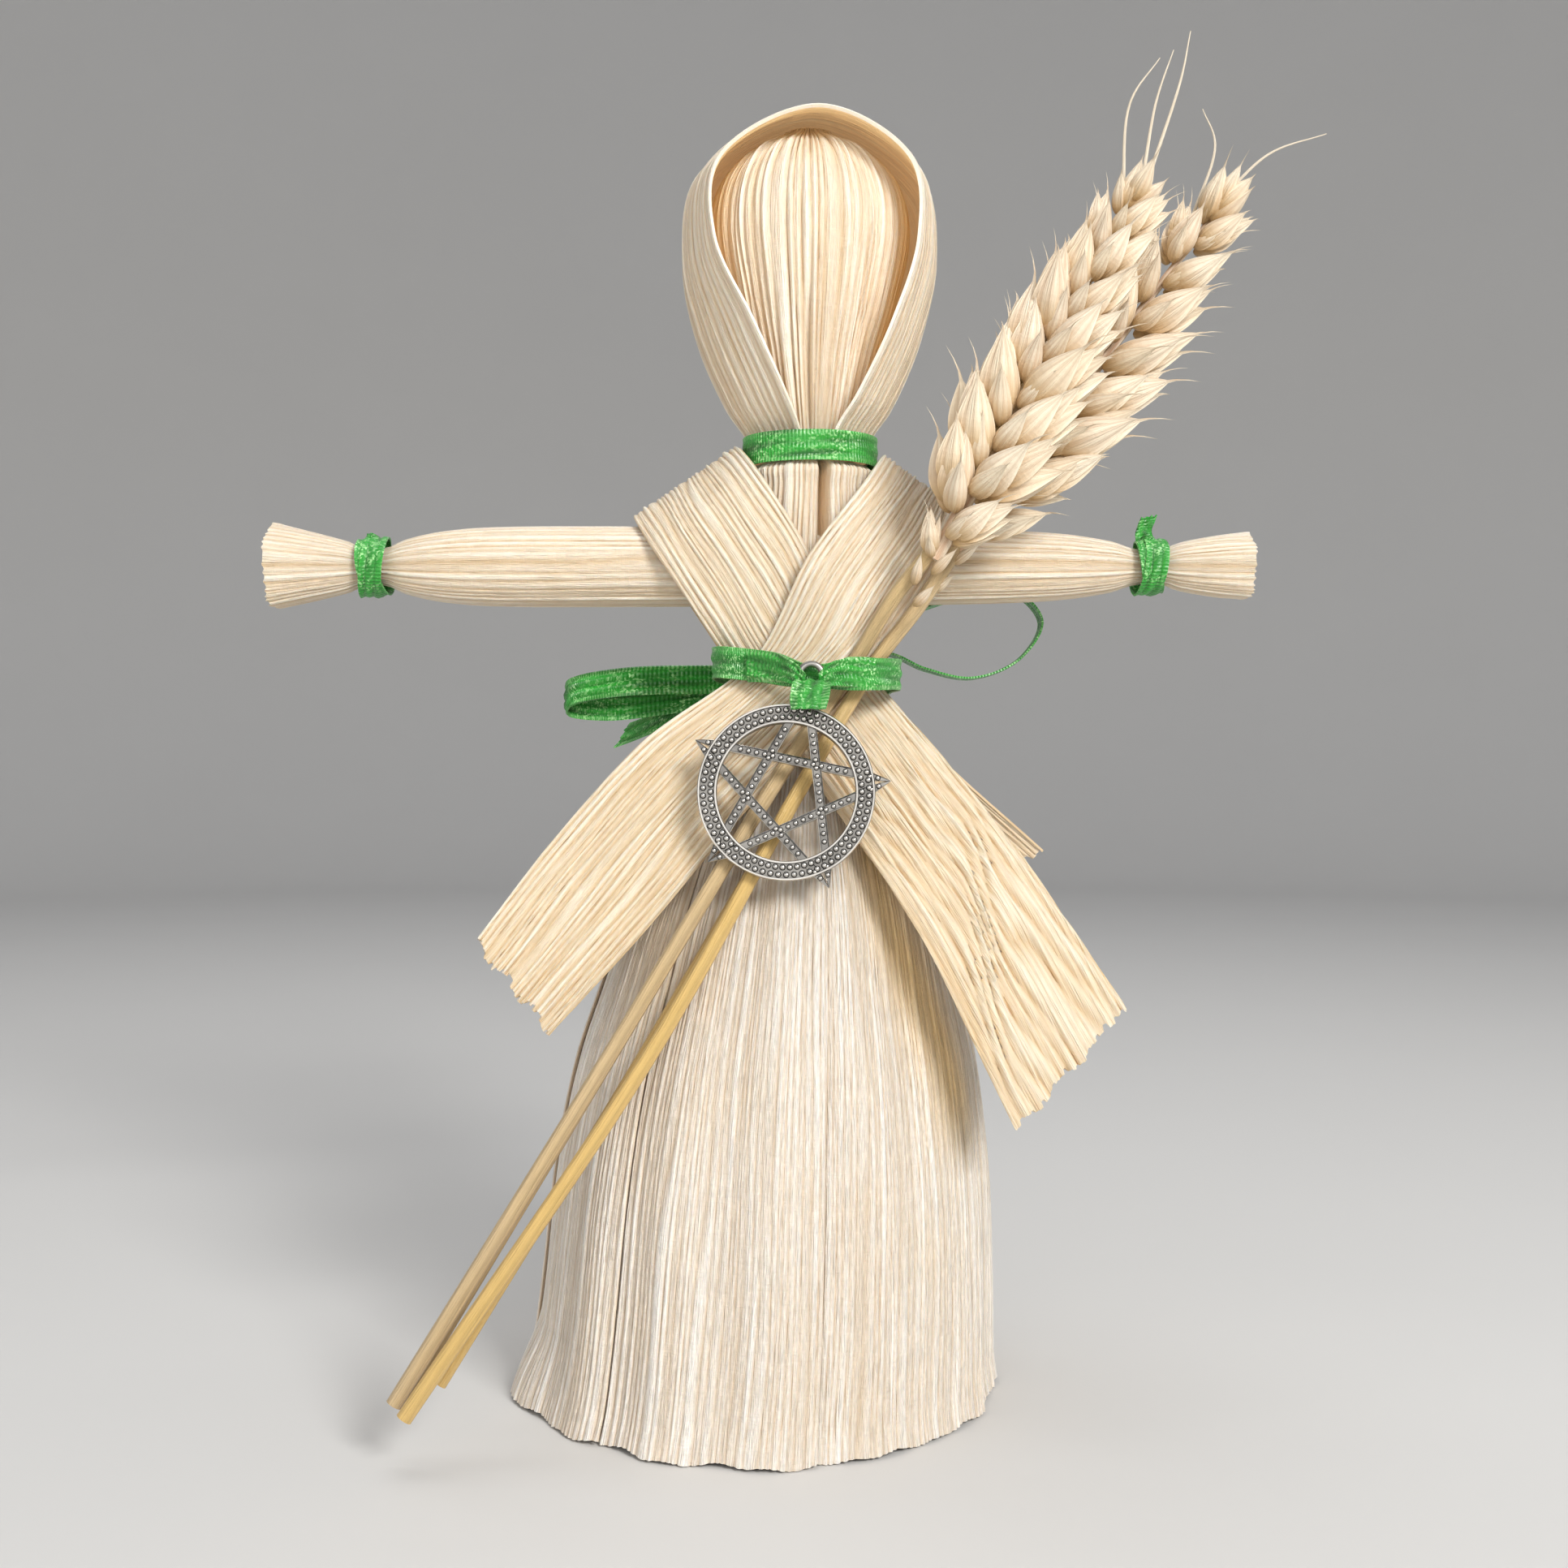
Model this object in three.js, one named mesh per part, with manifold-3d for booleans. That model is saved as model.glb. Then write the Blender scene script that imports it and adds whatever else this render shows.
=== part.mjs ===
// A corn husk doll that stands on its skirt, in millimetres, +Z up, with its front towards -Y.
// The husk pieces are tied with narrow green ribbon, and two wheat stalks and a charm hang in front.
import * as THREE from "three";
import { mergeVertices } from "three/addons/utils/BufferGeometryUtils.js";
import Module from "manifold-3d";

// Driving sizes
const HUSK = 1.2;
const RIBBON_WIDTH = 6;
const RIBBON_THICK = 0.6;

const NECK = { x: 5.3, z: 186.3, halfWidth: 13.45, halfDepth: 10.7 };
const HEAD_X = 5.1;
const HEAD_Y = 1;
const ARM = { y: 0, z: 163.5, clearance: 0.7 };
const HEM_WALL = 1.4;
const CHARM = { x: 0.4, y: -31.2, z: 118, outer: 16.4, inner: 12.8, tips: 19.4, thick: 2, lean: 7, barHalf: 0.8,
  barDepth: 1.4 };

const COLOURS = {
  husk: 0xe6d6b8,
  ribbon: 0x3caa3c,
  silver: 0xa09c94,
  wheat: 0xd2b48c,
  straw: 0xd7af55,
  paleStraw: 0xbeaa78,
};

const wasm = await Module();
wasm.setup();

const radians = THREE.MathUtils.degToRad;
const vec = (x, y, z) => new THREE.Vector3(x, y, z);

// A smooth function through steps of [place, value], flat past both ends.
function smooth(steps) {
  const last = steps.length - 1;
  const slope = (i) => {
    const before = steps[Math.max(i - 1, 0)];
    const after = steps[Math.min(i + 1, last)];
    return (after[1] - before[1]) / (after[0] - before[0]);
  };
  return (place) => {
    let i = 0;
    while (i < last - 1 && place > steps[i + 1][0]) i++;
    const [from, start] = steps[i];
    const [to, end] = steps[i + 1];
    const t = THREE.MathUtils.clamp((place - from) / (to - from), 0, 1);
    const rise = (2 * t - 3) * t * t;
    const bend = (to - from) * t * (1 - t);
    return start * (1 + rise) - end * rise + bend * ((1 - t) * slope(i) - t * slope(i + 1));
  };
}

// The solid of a geometry, with its doubled points merged and its faces turned out.
function solid(geometry) {
  const bare = geometry.clone();
  bare.deleteAttribute("normal");
  bare.deleteAttribute("uv");
  const merged = mergeVertices(bare, 1e-3);
  const index = merged.index.array;
  const corners = [];
  for (let i = 0; i < index.length; i += 3) {
    const [a, b, c] = index.slice(i, i + 3);
    if (a !== b && b !== c && c !== a) corners.push(a, b, c);
  }
  const make = (triVerts) =>
    new wasm.Manifold(
      new wasm.Mesh({
        numProp: 3,
        vertProperties: new Float32Array(merged.attributes.position.array),
        triVerts: new Uint32Array(triVerts),
      }),
    );
  const made = make(corners);
  return made.volume() > 0 ? made : make(corners.reverse());
}

const union = (solids) => solids.reduce((sum, next) => sum.add(next));

// The geometry with every point moved by a function.
function shaped(geometry, place) {
  const position = geometry.attributes.position;
  for (let i = 0; i < position.count; i++) {
    const moved = place(vec(position.getX(i), position.getY(i), position.getZ(i)));
    position.setXYZ(i, moved.x, moved.y, moved.z);
  }
  return geometry;
}

// A slab whose place is worked out from u and v, each 0 to 1, and side, -1 or 1.
function slab(uSteps, vSteps, place) {
  const block = new THREE.BoxGeometry(1, 1, 1, uSteps, vSteps, 1);
  return solid(shaped(block, (p) => place(p.x + 0.5, p.y + 0.5, Math.sign(p.z))));
}

// A turned form about the Z axis, each point moved by its angle, radius and height.
function turned(profile, segments, place) {
  const points = profile.map(([radius, height]) => new THREE.Vector2(radius, height));
  const lathe = new THREE.LatheGeometry(points, segments).rotateX(Math.PI / 2);
  return solid(shaped(lathe, (p) => place(Math.atan2(p.y, p.x), Math.hypot(p.x, p.y), p.z)));
}

// A rod with flat sides along a smooth path.
function rod(points, radius, sides, steps) {
  const corners = Array.from({ length: sides }, (_, i) => {
    const angle = (2 * Math.PI * i) / sides;
    return new THREE.Vector2(radius * Math.cos(angle), radius * Math.sin(angle));
  });
  const extrudePath = new THREE.CatmullRomCurve3(points);
  return solid(new THREE.ExtrudeGeometry(new THREE.Shape(corners), { steps, extrudePath }));
}

// A flat strip through stations of [middle, half of its width as a vector, crown].
function strip(stations, { thick, steps, across, relief = () => 0, cut = () => 0 }) {
  const middle = new THREE.CatmullRomCurve3(stations.map((s) => s[0]));
  const half = new THREE.CatmullRomCurve3(stations.map((s) => s[1]));
  const crown = new THREE.CatmullRomCurve3(stations.map((s) => vec(s[2] ?? 0, 0, 0)));
  return slab(steps, across, (u, v, side) => {
    const q = 2 * v - 1;
    const along = middle.getTangent(u);
    const wide = half.getPoint(u);
    const out = along.clone().cross(wide).normalize();
    const rise = crown.getPoint(u).x * (1 - q * q) + relief(u, q) + (side * thick) / 2;
    return middle
      .getPoint(u)
      .addScaledVector(wide, q)
      .addScaledVector(out, rise)
      .addScaledVector(along, cut(u, q));
  });
}

// A closed band of ribbon, standing on edge, along a loop that gives its middle at an angle.
function band(loop, width, thick, segments) {
  const core = 10;
  const profile = [
    [core - thick / 2, -width / 2],
    [core + thick / 2, -width / 2],
    [core + thick / 2, width / 2],
    [core - thick / 2, width / 2],
    [core - thick / 2, -width / 2],
  ];
  const small = 0.01;
  return turned(profile, segments, (angle, radius, height) => {
    const along = loop(angle + small).sub(loop(angle - small));
    const out = vec(along.y, -along.x, 0).normalize();
    return loop(angle).addScaledVector(out, radius - core).add(vec(0, 0, height));
  });
}

const oval = (x, y, z, halfWidth, halfDepth) => (angle) =>
  vec(x + halfWidth * Math.cos(angle), y + halfDepth * Math.sin(angle), z);

// Skirt: a hollow bell of overlapped husks that the doll stands on, with a round hole for the body
const skirtX = smooth([[0, -4.6], [20, -3.2], [64, -1.2], [100, 1.2], [146, 3.6]]);
const skirtWide = smooth([
  [0, 47], [6, 45.8], [20, 44.8], [43, 43.2], [64, 40], [79, 36], [95, 31.5], [110, 25.6], [125, 18.8],
  [136, 13.8], [141, 12.6], [147, 12],
]);
const skirtDeep = smooth([
  [0, 48.4], [6, 47.2], [20, 46], [43, 43], [64, 38.5], [79, 34], [95, 28], [110, 21.2], [125, 13.9],
  [136, 10.8], [141, 10.8], [147, 10.2],
]);
const HUSKS = 7;
const HUSK_STEP = 0.9;
const FLUTES = 16;
const FLUTE_DEPTH = 0.35;
const SKIRT_TOP = 147;
// The corner of the husk that stands out at the hem, with its place round the skirt in radians
const HEM_FLAP = { reach: 3.4, angle: -2.9, spread: 0.28, height: 14 };

function skirt() {
  const inner = { radius: 10.3, depth: 8.9, bottom: 136 };
  const heights = [0, 7, 24, 50, 76, 98, 116, 129, 138, SKIRT_TOP];
  const [outer, lining] = [2, 1];
  const outside = heights.map((z) => [outer, z]);
  const inside = [SKIRT_TOP, inner.bottom, 110, 60, 0].map((z) => [lining, z]);
  const gatherFrom = SKIRT_TOP - 1;
  return turned([...outside, ...inside, [outer, 0]], 48, (angle, layer, z) => {
    const turn = (angle + Math.PI) / (2 * Math.PI);
    const husk = (turn * HUSKS) % 1;
    const low = THREE.MathUtils.smoothstep(gatherFrom - z, 0, 60);
    const folds = HUSK_STEP * low * husk + FLUTE_DEPTH * Math.cos(FLUTES * angle);
    const beside = Math.exp(-(((angle - HEM_FLAP.angle) / HEM_FLAP.spread) ** 2));
    const nearHem = THREE.MathUtils.smoothstep(HEM_FLAP.height + 2 - z, 0, HEM_FLAP.height);
    const flap = HEM_FLAP.reach * beside * nearHem;
    const shown = layer > (outer + lining) / 2;
    const out = shown ? folds + flap - HUSK_STEP : flap - HEM_WALL - HUSK_STEP;
    const bore = !shown && z >= inner.bottom;
    const wide = bore ? inner.radius : skirtWide(z) + out;
    const deep = bore ? inner.depth : skirtDeep(z) + out;
    return vec(skirtX(z) + wide * Math.cos(angle), deep * Math.sin(angle), z);
  });
}

// Arms: one roll of husk that passes through the body, gathered at each wrist
const armRadius = smooth([
  [-104, 8.8], [-98, 7.6], [-88, 5.1], [-85.6, 3.9], [-80.4, 3.9], [-77, 5.4], [-70, 7], [-60, 7.9], [-40, 8.1],
  [0, 7.9], [36, 7.6], [55, 6.8], [66, 5.2], [71.2, 3.6], [76.8, 3.6], [80, 4.8], [88, 6.2], [94, 6.7],
]);

function arms(extra = 0) {
  const [leftEnd, rightEnd] = [-103.8, 94.6];
  const places = [leftEnd, -96, -88, -85, -81, -77, -69, -58, -20, 36, 55, 66, 71.2, 76.8, 80, 88, rightEnd];
  const profile = places.map((x) => [armRadius(x) + extra, x]);
  const pleats = 9;
  const pleatDepth = extra ? 0 : 0.3;
  const hollow = 2;
  const flatness = 0.94;
  const form = [[0, leftEnd + hollow], ...profile, [0, rightEnd - hollow]];
  return turned(form, 18, (angle, radius, x) => {
    const pleat = radius > 1 ? pleatDepth * Math.cos(pleats * angle) : 0;
    const wide = (radius + pleat) * flatness;
    return vec(x, wide * Math.sin(angle) + ARM.y, ARM.z + (radius + pleat) * Math.cos(angle));
  });
}

// Head, neck and trunk: one bundle of husk, pleated where the neck ribbon draws it in
const bodyX = smooth([[134, 3.6], [150, 4], [186, NECK.x], [205, HEAD_X], [250, HEAD_X]]);
const bodyWide = smooth([
  [136.5, 9.4], [147.4, 9.5], [151, 11.6], [156, 14], [163, 15.2], [172, 13.6], [179, 11.8], [182.2, 9],
  [189, 9], [196, 11.3], [205, 13.6], [217, 16.8], [230, 18.5], [239, 16.6], [245, 12], [248.6, 5.5],
]);
const bodyDeep = smooth([
  [136.5, 8], [147.4, 8.1], [151, 9], [156, 9.2], [163, 9.7], [172, 9.4], [179, 8.6], [182.2, 6],
  [189, 6.3], [196, 9.3], [205, 12], [217, 14.6], [230, 15.6], [239, 14.2], [245, 10.5], [248.6, 5],
]);

function headAndBody() {
  const [foot, crown] = [136.8, 249.6];
  const heights = [foot, 147.4, 151, 156, 163, 172, 179, 182.2, 189, 196, 205, 217, 230, 239, 245, 248.6];
  const pleats = 15;
  const depth = smooth([
    [136, 0], [149, 0.3], [172, 0.5], [183, 0.25], [189, 0.25], [200, 0.7], [230, 0.4], [249, 0],
  ]);
  const rows = heights.map((z) => [1, z]);
  const bundle = turned([[0, foot], ...rows, [0, crown]], 30, (angle, layer, z) => {
    const pleat = depth(z) * Math.cos(pleats * angle);
    const y = HEAD_Y * THREE.MathUtils.smoothstep(z, 189, 210);
    const wide = layer * (bodyWide(z) + pleat);
    const deep = layer * (bodyDeep(z) + pleat);
    return vec(bodyX(z) + wide * Math.cos(angle), y + deep * Math.sin(angle), z);
  });
  return bundle.subtract(arms(ARM.clearance));
}

// Hood: one wide husk laid over the head from side to side, open at the face
// Each guide runs from the neck up the left side, over the top and down the right side.
function hoodGuide(heights, left, right, depths, topX) {
  const top = heights.length - 1;
  const point = (i, half) => vec(HEAD_X + half, depths[i], heights[i]);
  const up = left.map((half, i) => point(i, -half));
  const down = right.map((half, i) => point(i, half)).reverse();
  return new THREE.CatmullRomCurve3([...up, vec(HEAD_X + topX, depths[top], heights[top]), ...down]);
}

const RIDGE_HALF = [11.9, 12.1, 16.2, 22.2, 25.3, 22.2];
const QUARTER_HALF = [7.4, 7.6, 11.5, 17, 19.4, 17];
const SEAM_HALF = [0.8, 0.8, 0.8, 0.8, 0.8, 0.8];
const HOOD_GUIDES = [
  hoodGuide(
    [182.6, 189.4, 196, 210, 226, 241, 250.8],
    [1.5, 1.7, 4.4, 10.9, 18.3, 17.3],
    [4.9, 5.1, 9.2, 16, 20.9, 19.2],
    [-8.7, -8.9, -12.4, -14.6, -15.2, -15.2, -15],
    1.8,
  ),
  hoodGuide([182.6, 189.4, 196, 210, 226, 242, 254.2], RIDGE_HALF, RIDGE_HALF, [0, 0, 0, 1, 1, 1, 0], 0.6),
  hoodGuide(
    [182.6, 189.4, 196, 210, 226, 240, 251],
    QUARTER_HALF,
    QUARTER_HALF,
    [7.3, 7.4, 10.8, 15, 18, 16.5, 12],
    0,
  ),
  hoodGuide(
    [182.6, 189.4, 196, 210, 226, 238, 244.5],
    SEAM_HALF,
    SEAM_HALF,
    [8.9, 9, 12.8, 18.2, 21.8, 21, 18.4],
    0,
  ),
];

function hood() {
  const thick = 0.8;
  const surface = (u, v) => new THREE.CatmullRomCurve3(HOOD_GUIDES.map((g) => g.getPoint(u))).getPoint(v);
  const small = 0.004;
  return slab(21, 8, (u, v, side) => {
    const along = surface(Math.min(u + small, 1), v).sub(surface(Math.max(u - small, 0), v));
    const back = surface(u, Math.min(v + small, 1)).sub(surface(u, Math.max(v - small, 0)));
    const out = along.cross(back).normalize();
    return surface(u, v).addScaledVector(out, (side * thick) / 2);
  });
}

// Shawl: two long husks, each over one shoulder, crossed and tied down at the waist in front and behind
// Each ends in a loose tail, and the one over the right shoulder lies on top in front.
const CREASE_DEPTH = 0.28;
const RAGGED_DEPTH = 2.4;
const creases = (u, q) => CREASE_DEPTH * Math.cos(3.5 * Math.PI * q + 4 * u);
const ragged = (u, q) => (u === 0 || u === 1 ? (u - 0.5) * RAGGED_DEPTH * Math.cos(9 * q) : 0);
const SHAWL_FORM = { thick: HUSK, steps: 26, across: 5, relief: creases, cut: ragged };

function shawlFromLeft() {
  const stations = [
    [vec(52, -36, 68), vec(-10.3, -2, -11)],
    [vec(35, -29.5, 98.5), vec(-10.3, -3, -6.3), 0.5],
    [vec(21, -20.6, 118.5), vec(-9.8, -2.6, -6), 1],
    [vec(4, -8.4, 141.5), vec(-11.3, 0, -3.2), 4.6],
    [vec(-7, -11.4, 160.5), vec(-10.6, 1, -7), 1.2],
    [vec(-15.5, -10.4, 173.5), vec(-10.8, 0.8, -7.2), 0.6],
    [vec(-20, 0, 180.8), vec(-10.6, 0, -7.2)],
    [vec(-15.5, 10.4, 173.5), vec(-10.8, -0.8, -7.2), 0.6],
    [vec(-7, 11.4, 160.5), vec(-10.6, -1, -7), 1.2],
    [vec(4, 8.4, 141.5), vec(-11.3, 0, -3.2), 4.6],
    [vec(20, 20.6, 118.5), vec(-9.5, 2.6, -6), 1],
    [vec(45, 27, 97), vec(-7.7, 2, -6.3), 0.5],
  ];
  return strip(stations, SHAWL_FORM);
}

function shawlFromRight() {
  const stations = [
    [vec(-50.1, -30, 82), vec(7.3, -1, -8.3)],
    [vec(-33.8, -25.5, 101.8), vec(9.2, -3, -8.2), -0.5],
    [vec(-18, -23, 120), vec(9.3, -2, -7.4), -1],
    [vec(5, -14.9, 142), vec(10.4, -1.5, -2.6), -3],
    [vec(15, -15.7, 158), vec(9.6, 1, -6.8), -1.2],
    [vec(24.5, -11.4, 171.5), vec(9.2, 0.6, -6.8), -0.6],
    [vec(29, 0, 179.7), vec(8.9, 0, -6.5)],
    [vec(24.5, 11.4, 171.5), vec(9.2, -0.6, -6.8), -0.6],
    [vec(15, 15.7, 158), vec(9.6, -1, -6.8), -1.2],
    [vec(5, 14.9, 142), vec(10.4, 1.5, -2.6), -3],
    [vec(-18, 23, 120), vec(9.3, 2, -7.4), -1],
    [vec(-38, 27, 99), vec(7.6, 2, -6.6), -0.5],
  ];
  return strip(stations, SHAWL_FORM);
}

// Ribbons: narrow satin, tied round the neck, the waist and both wrists
function neckRibbon() {
  const loop = oval(NECK.x, 0, NECK.z, NECK.halfWidth, NECK.halfDepth);
  const knot = new THREE.BoxGeometry(5, 2.4, 5).translate(NECK.x, NECK.halfDepth + 1.1, NECK.z);
  return band(loop, RIBBON_WIDTH, RIBBON_THICK, 28).add(solid(knot));
}

function wristRibbon(x, radius, stub) {
  const ring = band(oval(0, 0, 0, radius, radius), RIBBON_WIDTH - 0.4, RIBBON_THICK, 16);
  const knot = solid(new THREE.BoxGeometry(1.6, 3.4, 3.4).translate(-radius - 0.6, 0, 0));
  const tied = union([ring, knot, ...stub]);
  return tied.rotate([0, 90, 0]).translate([x, ARM.y, ARM.z]);
}

function ribbonPiece(points, half, steps) {
  const stations = points.map((p, i) => [p, Array.isArray(half) ? half[i] : half]);
  return strip(stations, { thick: RIBBON_THICK, steps, across: 1 });
}

function waistRibbon() {
  const route = [
    vec(4.8, -26.4, 139.8),
    vec(-3, -20, 141.8),
    vec(-11.8, -16.6, 143),
    vec(-14.2, 0, 143.6),
    vec(-11.2, 16.2, 143.6),
    vec(5.2, 20, 142.6),
    vec(20.3, 17.6, 141.6),
    vec(21.8, 0, 141),
    vec(22, -17.4, 140.6),
    vec(17.2, -23.5, 140.2),
  ];
  const closed = new THREE.CatmullRomCurve3(route.reverse(), true);
  const loop = (angle) => closed.getPoint(((angle / (2 * Math.PI)) % 1 + 1) % 1);
  const half = RIBBON_WIDTH / 2;
  const upright = vec(0, 0, half);
  const backKnot = new THREE.BoxGeometry(7.6, 4.4, 7).rotateY(0.12).translate(5.2, 22.2, 142.2);
  const leftLoopFront = ribbonPiece(
    [vec(4, 21.4, 142.5), vec(-14, 18.4, 142), vec(-34, 13, 141), vec(-45.6, 12, 138.8)],
    upright,
    6,
  );
  const leftLoopBack = ribbonPiece(
    [vec(-45.6, 15, 137), vec(-38, 17.5, 136.4), vec(-18, 21.5, 138.5), vec(2, 22.4, 141)],
    upright,
    6,
  );
  const leftLoopFold = new THREE.BoxGeometry(1.4, 3.8, 5.2).translate(-45.6, 13.5, 137.9);
  const leftTail = ribbonPiece(
    [vec(3, 22, 141), vec(-12, 24.5, 138), vec(-27, 21.5, 133), vec(-34.5, 17, 129.8)],
    [upright, vec(1, 0, 2.8), vec(1.4, 0, 2.6), vec(1.4, 0, 2.6)],
    8,
  );
  const flat = vec(0, half, 0);
  const narrow = vec(0, half - 0.5, 0);
  const rightLoop = ribbonPiece(
    [vec(6, 22.2, 141), vec(13, 22, 144), vec(22, 20.6, 147.4), vec(30, 19, 144), vec(40, 18, 142),
      vec(50, 17, 146), vec(54.6, 16, 154), vec(48, 16, 160.5), vec(30, 18, 157), vec(15, 21.4, 150.6),
      vec(6, 22.2, 144.6)],
    [narrow, narrow, flat, flat, flat, flat, flat, flat, flat, narrow, narrow],
    17,
  );
  const charmWrap = strip(
    [
      [vec(5, -24.2, 137.3), vec(3.9, 0, 0)],
      [vec(5, -30.4, 137), vec(3.9, 0, 0)],
      [vec(4.8, -32, 135.4), vec(3.7, 0, 0)],
      [vec(4.6, -32.2, 133.4), vec(3.3, 0, 0)],
    ],
    { thick: 0.9, steps: 6, across: 2 },
  );
  const slot = new THREE.BoxGeometry(4.2, 4.6, 6).translate(4.9, -29.2, 136);
  const front = charmWrap.subtract(solid(slot));
  const leftLoop = [leftLoopFront, leftLoopBack, solid(leftLoopFold)];
  const pieces = [solid(backKnot), ...leftLoop, leftTail, rightLoop, front];
  return union([band(loop, RIBBON_WIDTH, RIBBON_THICK, 24), ...pieces]);
}

// Charm: a flat ring with a five-pointed star of straight bars, and the eye that it hangs by
function charm() {
  const { outer, inner, tips, thick, lean, barHalf, barDepth } = CHARM;
  const chamfer = 0.5;
  const rim = [
    [inner, -thick / 2],
    [outer, -thick / 2],
    [outer, thick / 2 - chamfer],
    [outer - chamfer, thick / 2],
    [inner, thick / 2],
    [inner, -thick / 2],
  ];
  const round = (angle, radius, z) => vec(radius * Math.cos(angle), radius * Math.sin(angle), z);
  const ring = turned(rim, 28, round);
  const firstTip = radians(6);
  const step = radians(72);
  const length = 2 * tips * Math.sin(step);
  const point = 5;
  const bar = new THREE.Shape([
    new THREE.Vector2(-length / 2, 0),
    new THREE.Vector2(point - length / 2, -barHalf),
    new THREE.Vector2(length / 2 - point, -barHalf),
    new THREE.Vector2(length / 2, 0),
    new THREE.Vector2(length / 2 - point, barHalf),
    new THREE.Vector2(point - length / 2, barHalf),
  ]);
  // Each bar is raised a little over the one before, so that no two faces coincide.
  const lift = 0.02;
  const bars = [0, 1, 2, 3, 4].map((i) => {
    const geometry = new THREE.ExtrudeGeometry(bar, { depth: barDepth, bevelEnabled: false });
    geometry.translate(0, -tips * Math.cos(step), -barDepth / 2 + lift * i);
    geometry.rotateZ(firstTip + step * i + Math.PI / 2 + step);
    return solid(geometry);
  });
  const top = firstTip + step;
  const eyeAt = tips + 3;
  const eye = new THREE.TorusGeometry(2.1, 0.65, 4, 8);
  eye.translate(eyeAt * Math.cos(top), eyeAt * Math.sin(top), 0);
  const stem = new THREE.BoxGeometry(4, 1.5, 1.2).translate(tips - 0.6, 0, 0).rotateZ(top);
  const upright = union([ring, ...bars, solid(eye), solid(stem)]);
  return upright.rotate([90 - lean, 0, 0]).translate([CHARM.x, CHARM.y, CHARM.z]);
}

// Wheat: each stalk is one piece, a straw that ends in an ear of overlapping grains with a few long beards
const STRAW = 1.45;
const BEARD = 0.4;

function grain(size) {
  const sides = 5;
  const profile = [[0, 0], [0.44, 0.34], [0.32, 0.7], [0, 1]];
  return turned(profile, sides, (angle, radius, height) =>
    vec(size.wide * radius * Math.cos(angle), size.deep * radius * Math.sin(angle), size.long * height),
  );
}

function wheat({ straw, foot, tip, pairs, beards }) {
  const up = tip.clone().sub(foot);
  const length = up.length();
  const axis = up.clone().normalize();
  const turn = new THREE.Matrix4().makeBasis(
    vec(axis.z, 0, -axis.x).normalize(),
    axis.clone().cross(vec(axis.z, 0, -axis.x)).normalize(),
    axis,
  );
  const [spread, lean, offset] = [27, 5, 2.6];
  const grains = [];
  for (let i = 0; i < 2 * pairs; i++) {
    const side = i % 2 ? 1 : -1;
    const share = i / (2 * pairs);
    const scale = 0.72 + 0.5 * Math.sin(Math.PI * Math.min(1, share * 1.15 + 0.12));
    const size = { long: 14.6 * scale, wide: 10 * scale, deep: 11 * scale };
    const placed = grain(size)
      .rotate([side * lean, side * spread * (1 - 0.45 * share), 0])
      .translate([side * offset * scale, 0, share * (length - 11)]);
    grains.push(placed);
  }
  const tipGrain = grain({ long: 12, wide: 6, deep: 6 }).translate([0, 0, length - 12]);
  const core = turned([[0, -2], [1.9, -1], [2.6, 12], [1.6, length - 8], [0, length - 4]], 6, (a, r, z) =>
    vec(r * Math.cos(a), r * Math.sin(a), z),
  );
  const ear = union([core, tipGrain, ...grains])
    .transform(turn.elements.slice(0, 16))
    .translate(foot.toArray());
  const hairs = beards.map((route) => rod(route, BEARD, 3, 5));
  return union([ear, rod(straw, STRAW, 8, 8), ...hairs]);
}

function wheatLeft() {
  return wheat({
    straw: [vec(-68.2, -46.8, 11), vec(-30.8, -36.6, 71.6), vec(-3, -26.4, 117.5), vec(13, -18.7, 142),
      vec(20.6, -22.4, 154.5), vec(28.4, -25.2, 164)],
    foot: vec(28.1, -25.2, 161.6),
    tip: vec(70.8, -25.6, 238.6),
    pairs: 7,
    beards: [
      [vec(63.6, -25.4, 229), vec(64.8, -26, 247), vec(70.4, -26, 255.5)],
      [vec(67.4, -25.6, 234), vec(70, -25, 248), vec(73.2, -25, 257.4)],
      [vec(69, -25.6, 235), vec(74.6, -25, 252), vec(76.4, -25, 261)],
    ],
  });
}

function wheatRight() {
  return wheat({
    straw: [vec(-65.9, -49.2, 9.4), vec(-23.6, -37.6, 71.6), vec(2.4, -26, 117.5), vec(17, -18.4, 142),
      vec(26.5, -18.4, 154.5), vec(34, -16.2, 166)],
    foot: vec(33.4, -16.2, 164.6),
    tip: vec(90.6, -14.8, 239.4),
    pairs: 7,
    beards: [
      [vec(79, -15.4, 229), vec(83.6, -15, 243.6), vec(81.2, -15, 250.4)],
      [vec(88, -15, 236.6), vec(96, -15, 242.6), vec(105.2, -15, 245.6)],
    ],
  });
}

// Loose straws that lie behind the two stalks below the waist, and a short broken one
const LOOSE_STRAWS = {
  straw_pale: [vec(-67.1, -42.8, 10.2), vec(-33.5, -33.4, 66), vec(-5.8, -23, 112)],
  straw_tan: [vec(-60.7, -43.4, 13.2), vec(-27.6, -35.2, 67), vec(-1, -23.6, 112)],
};

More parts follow.
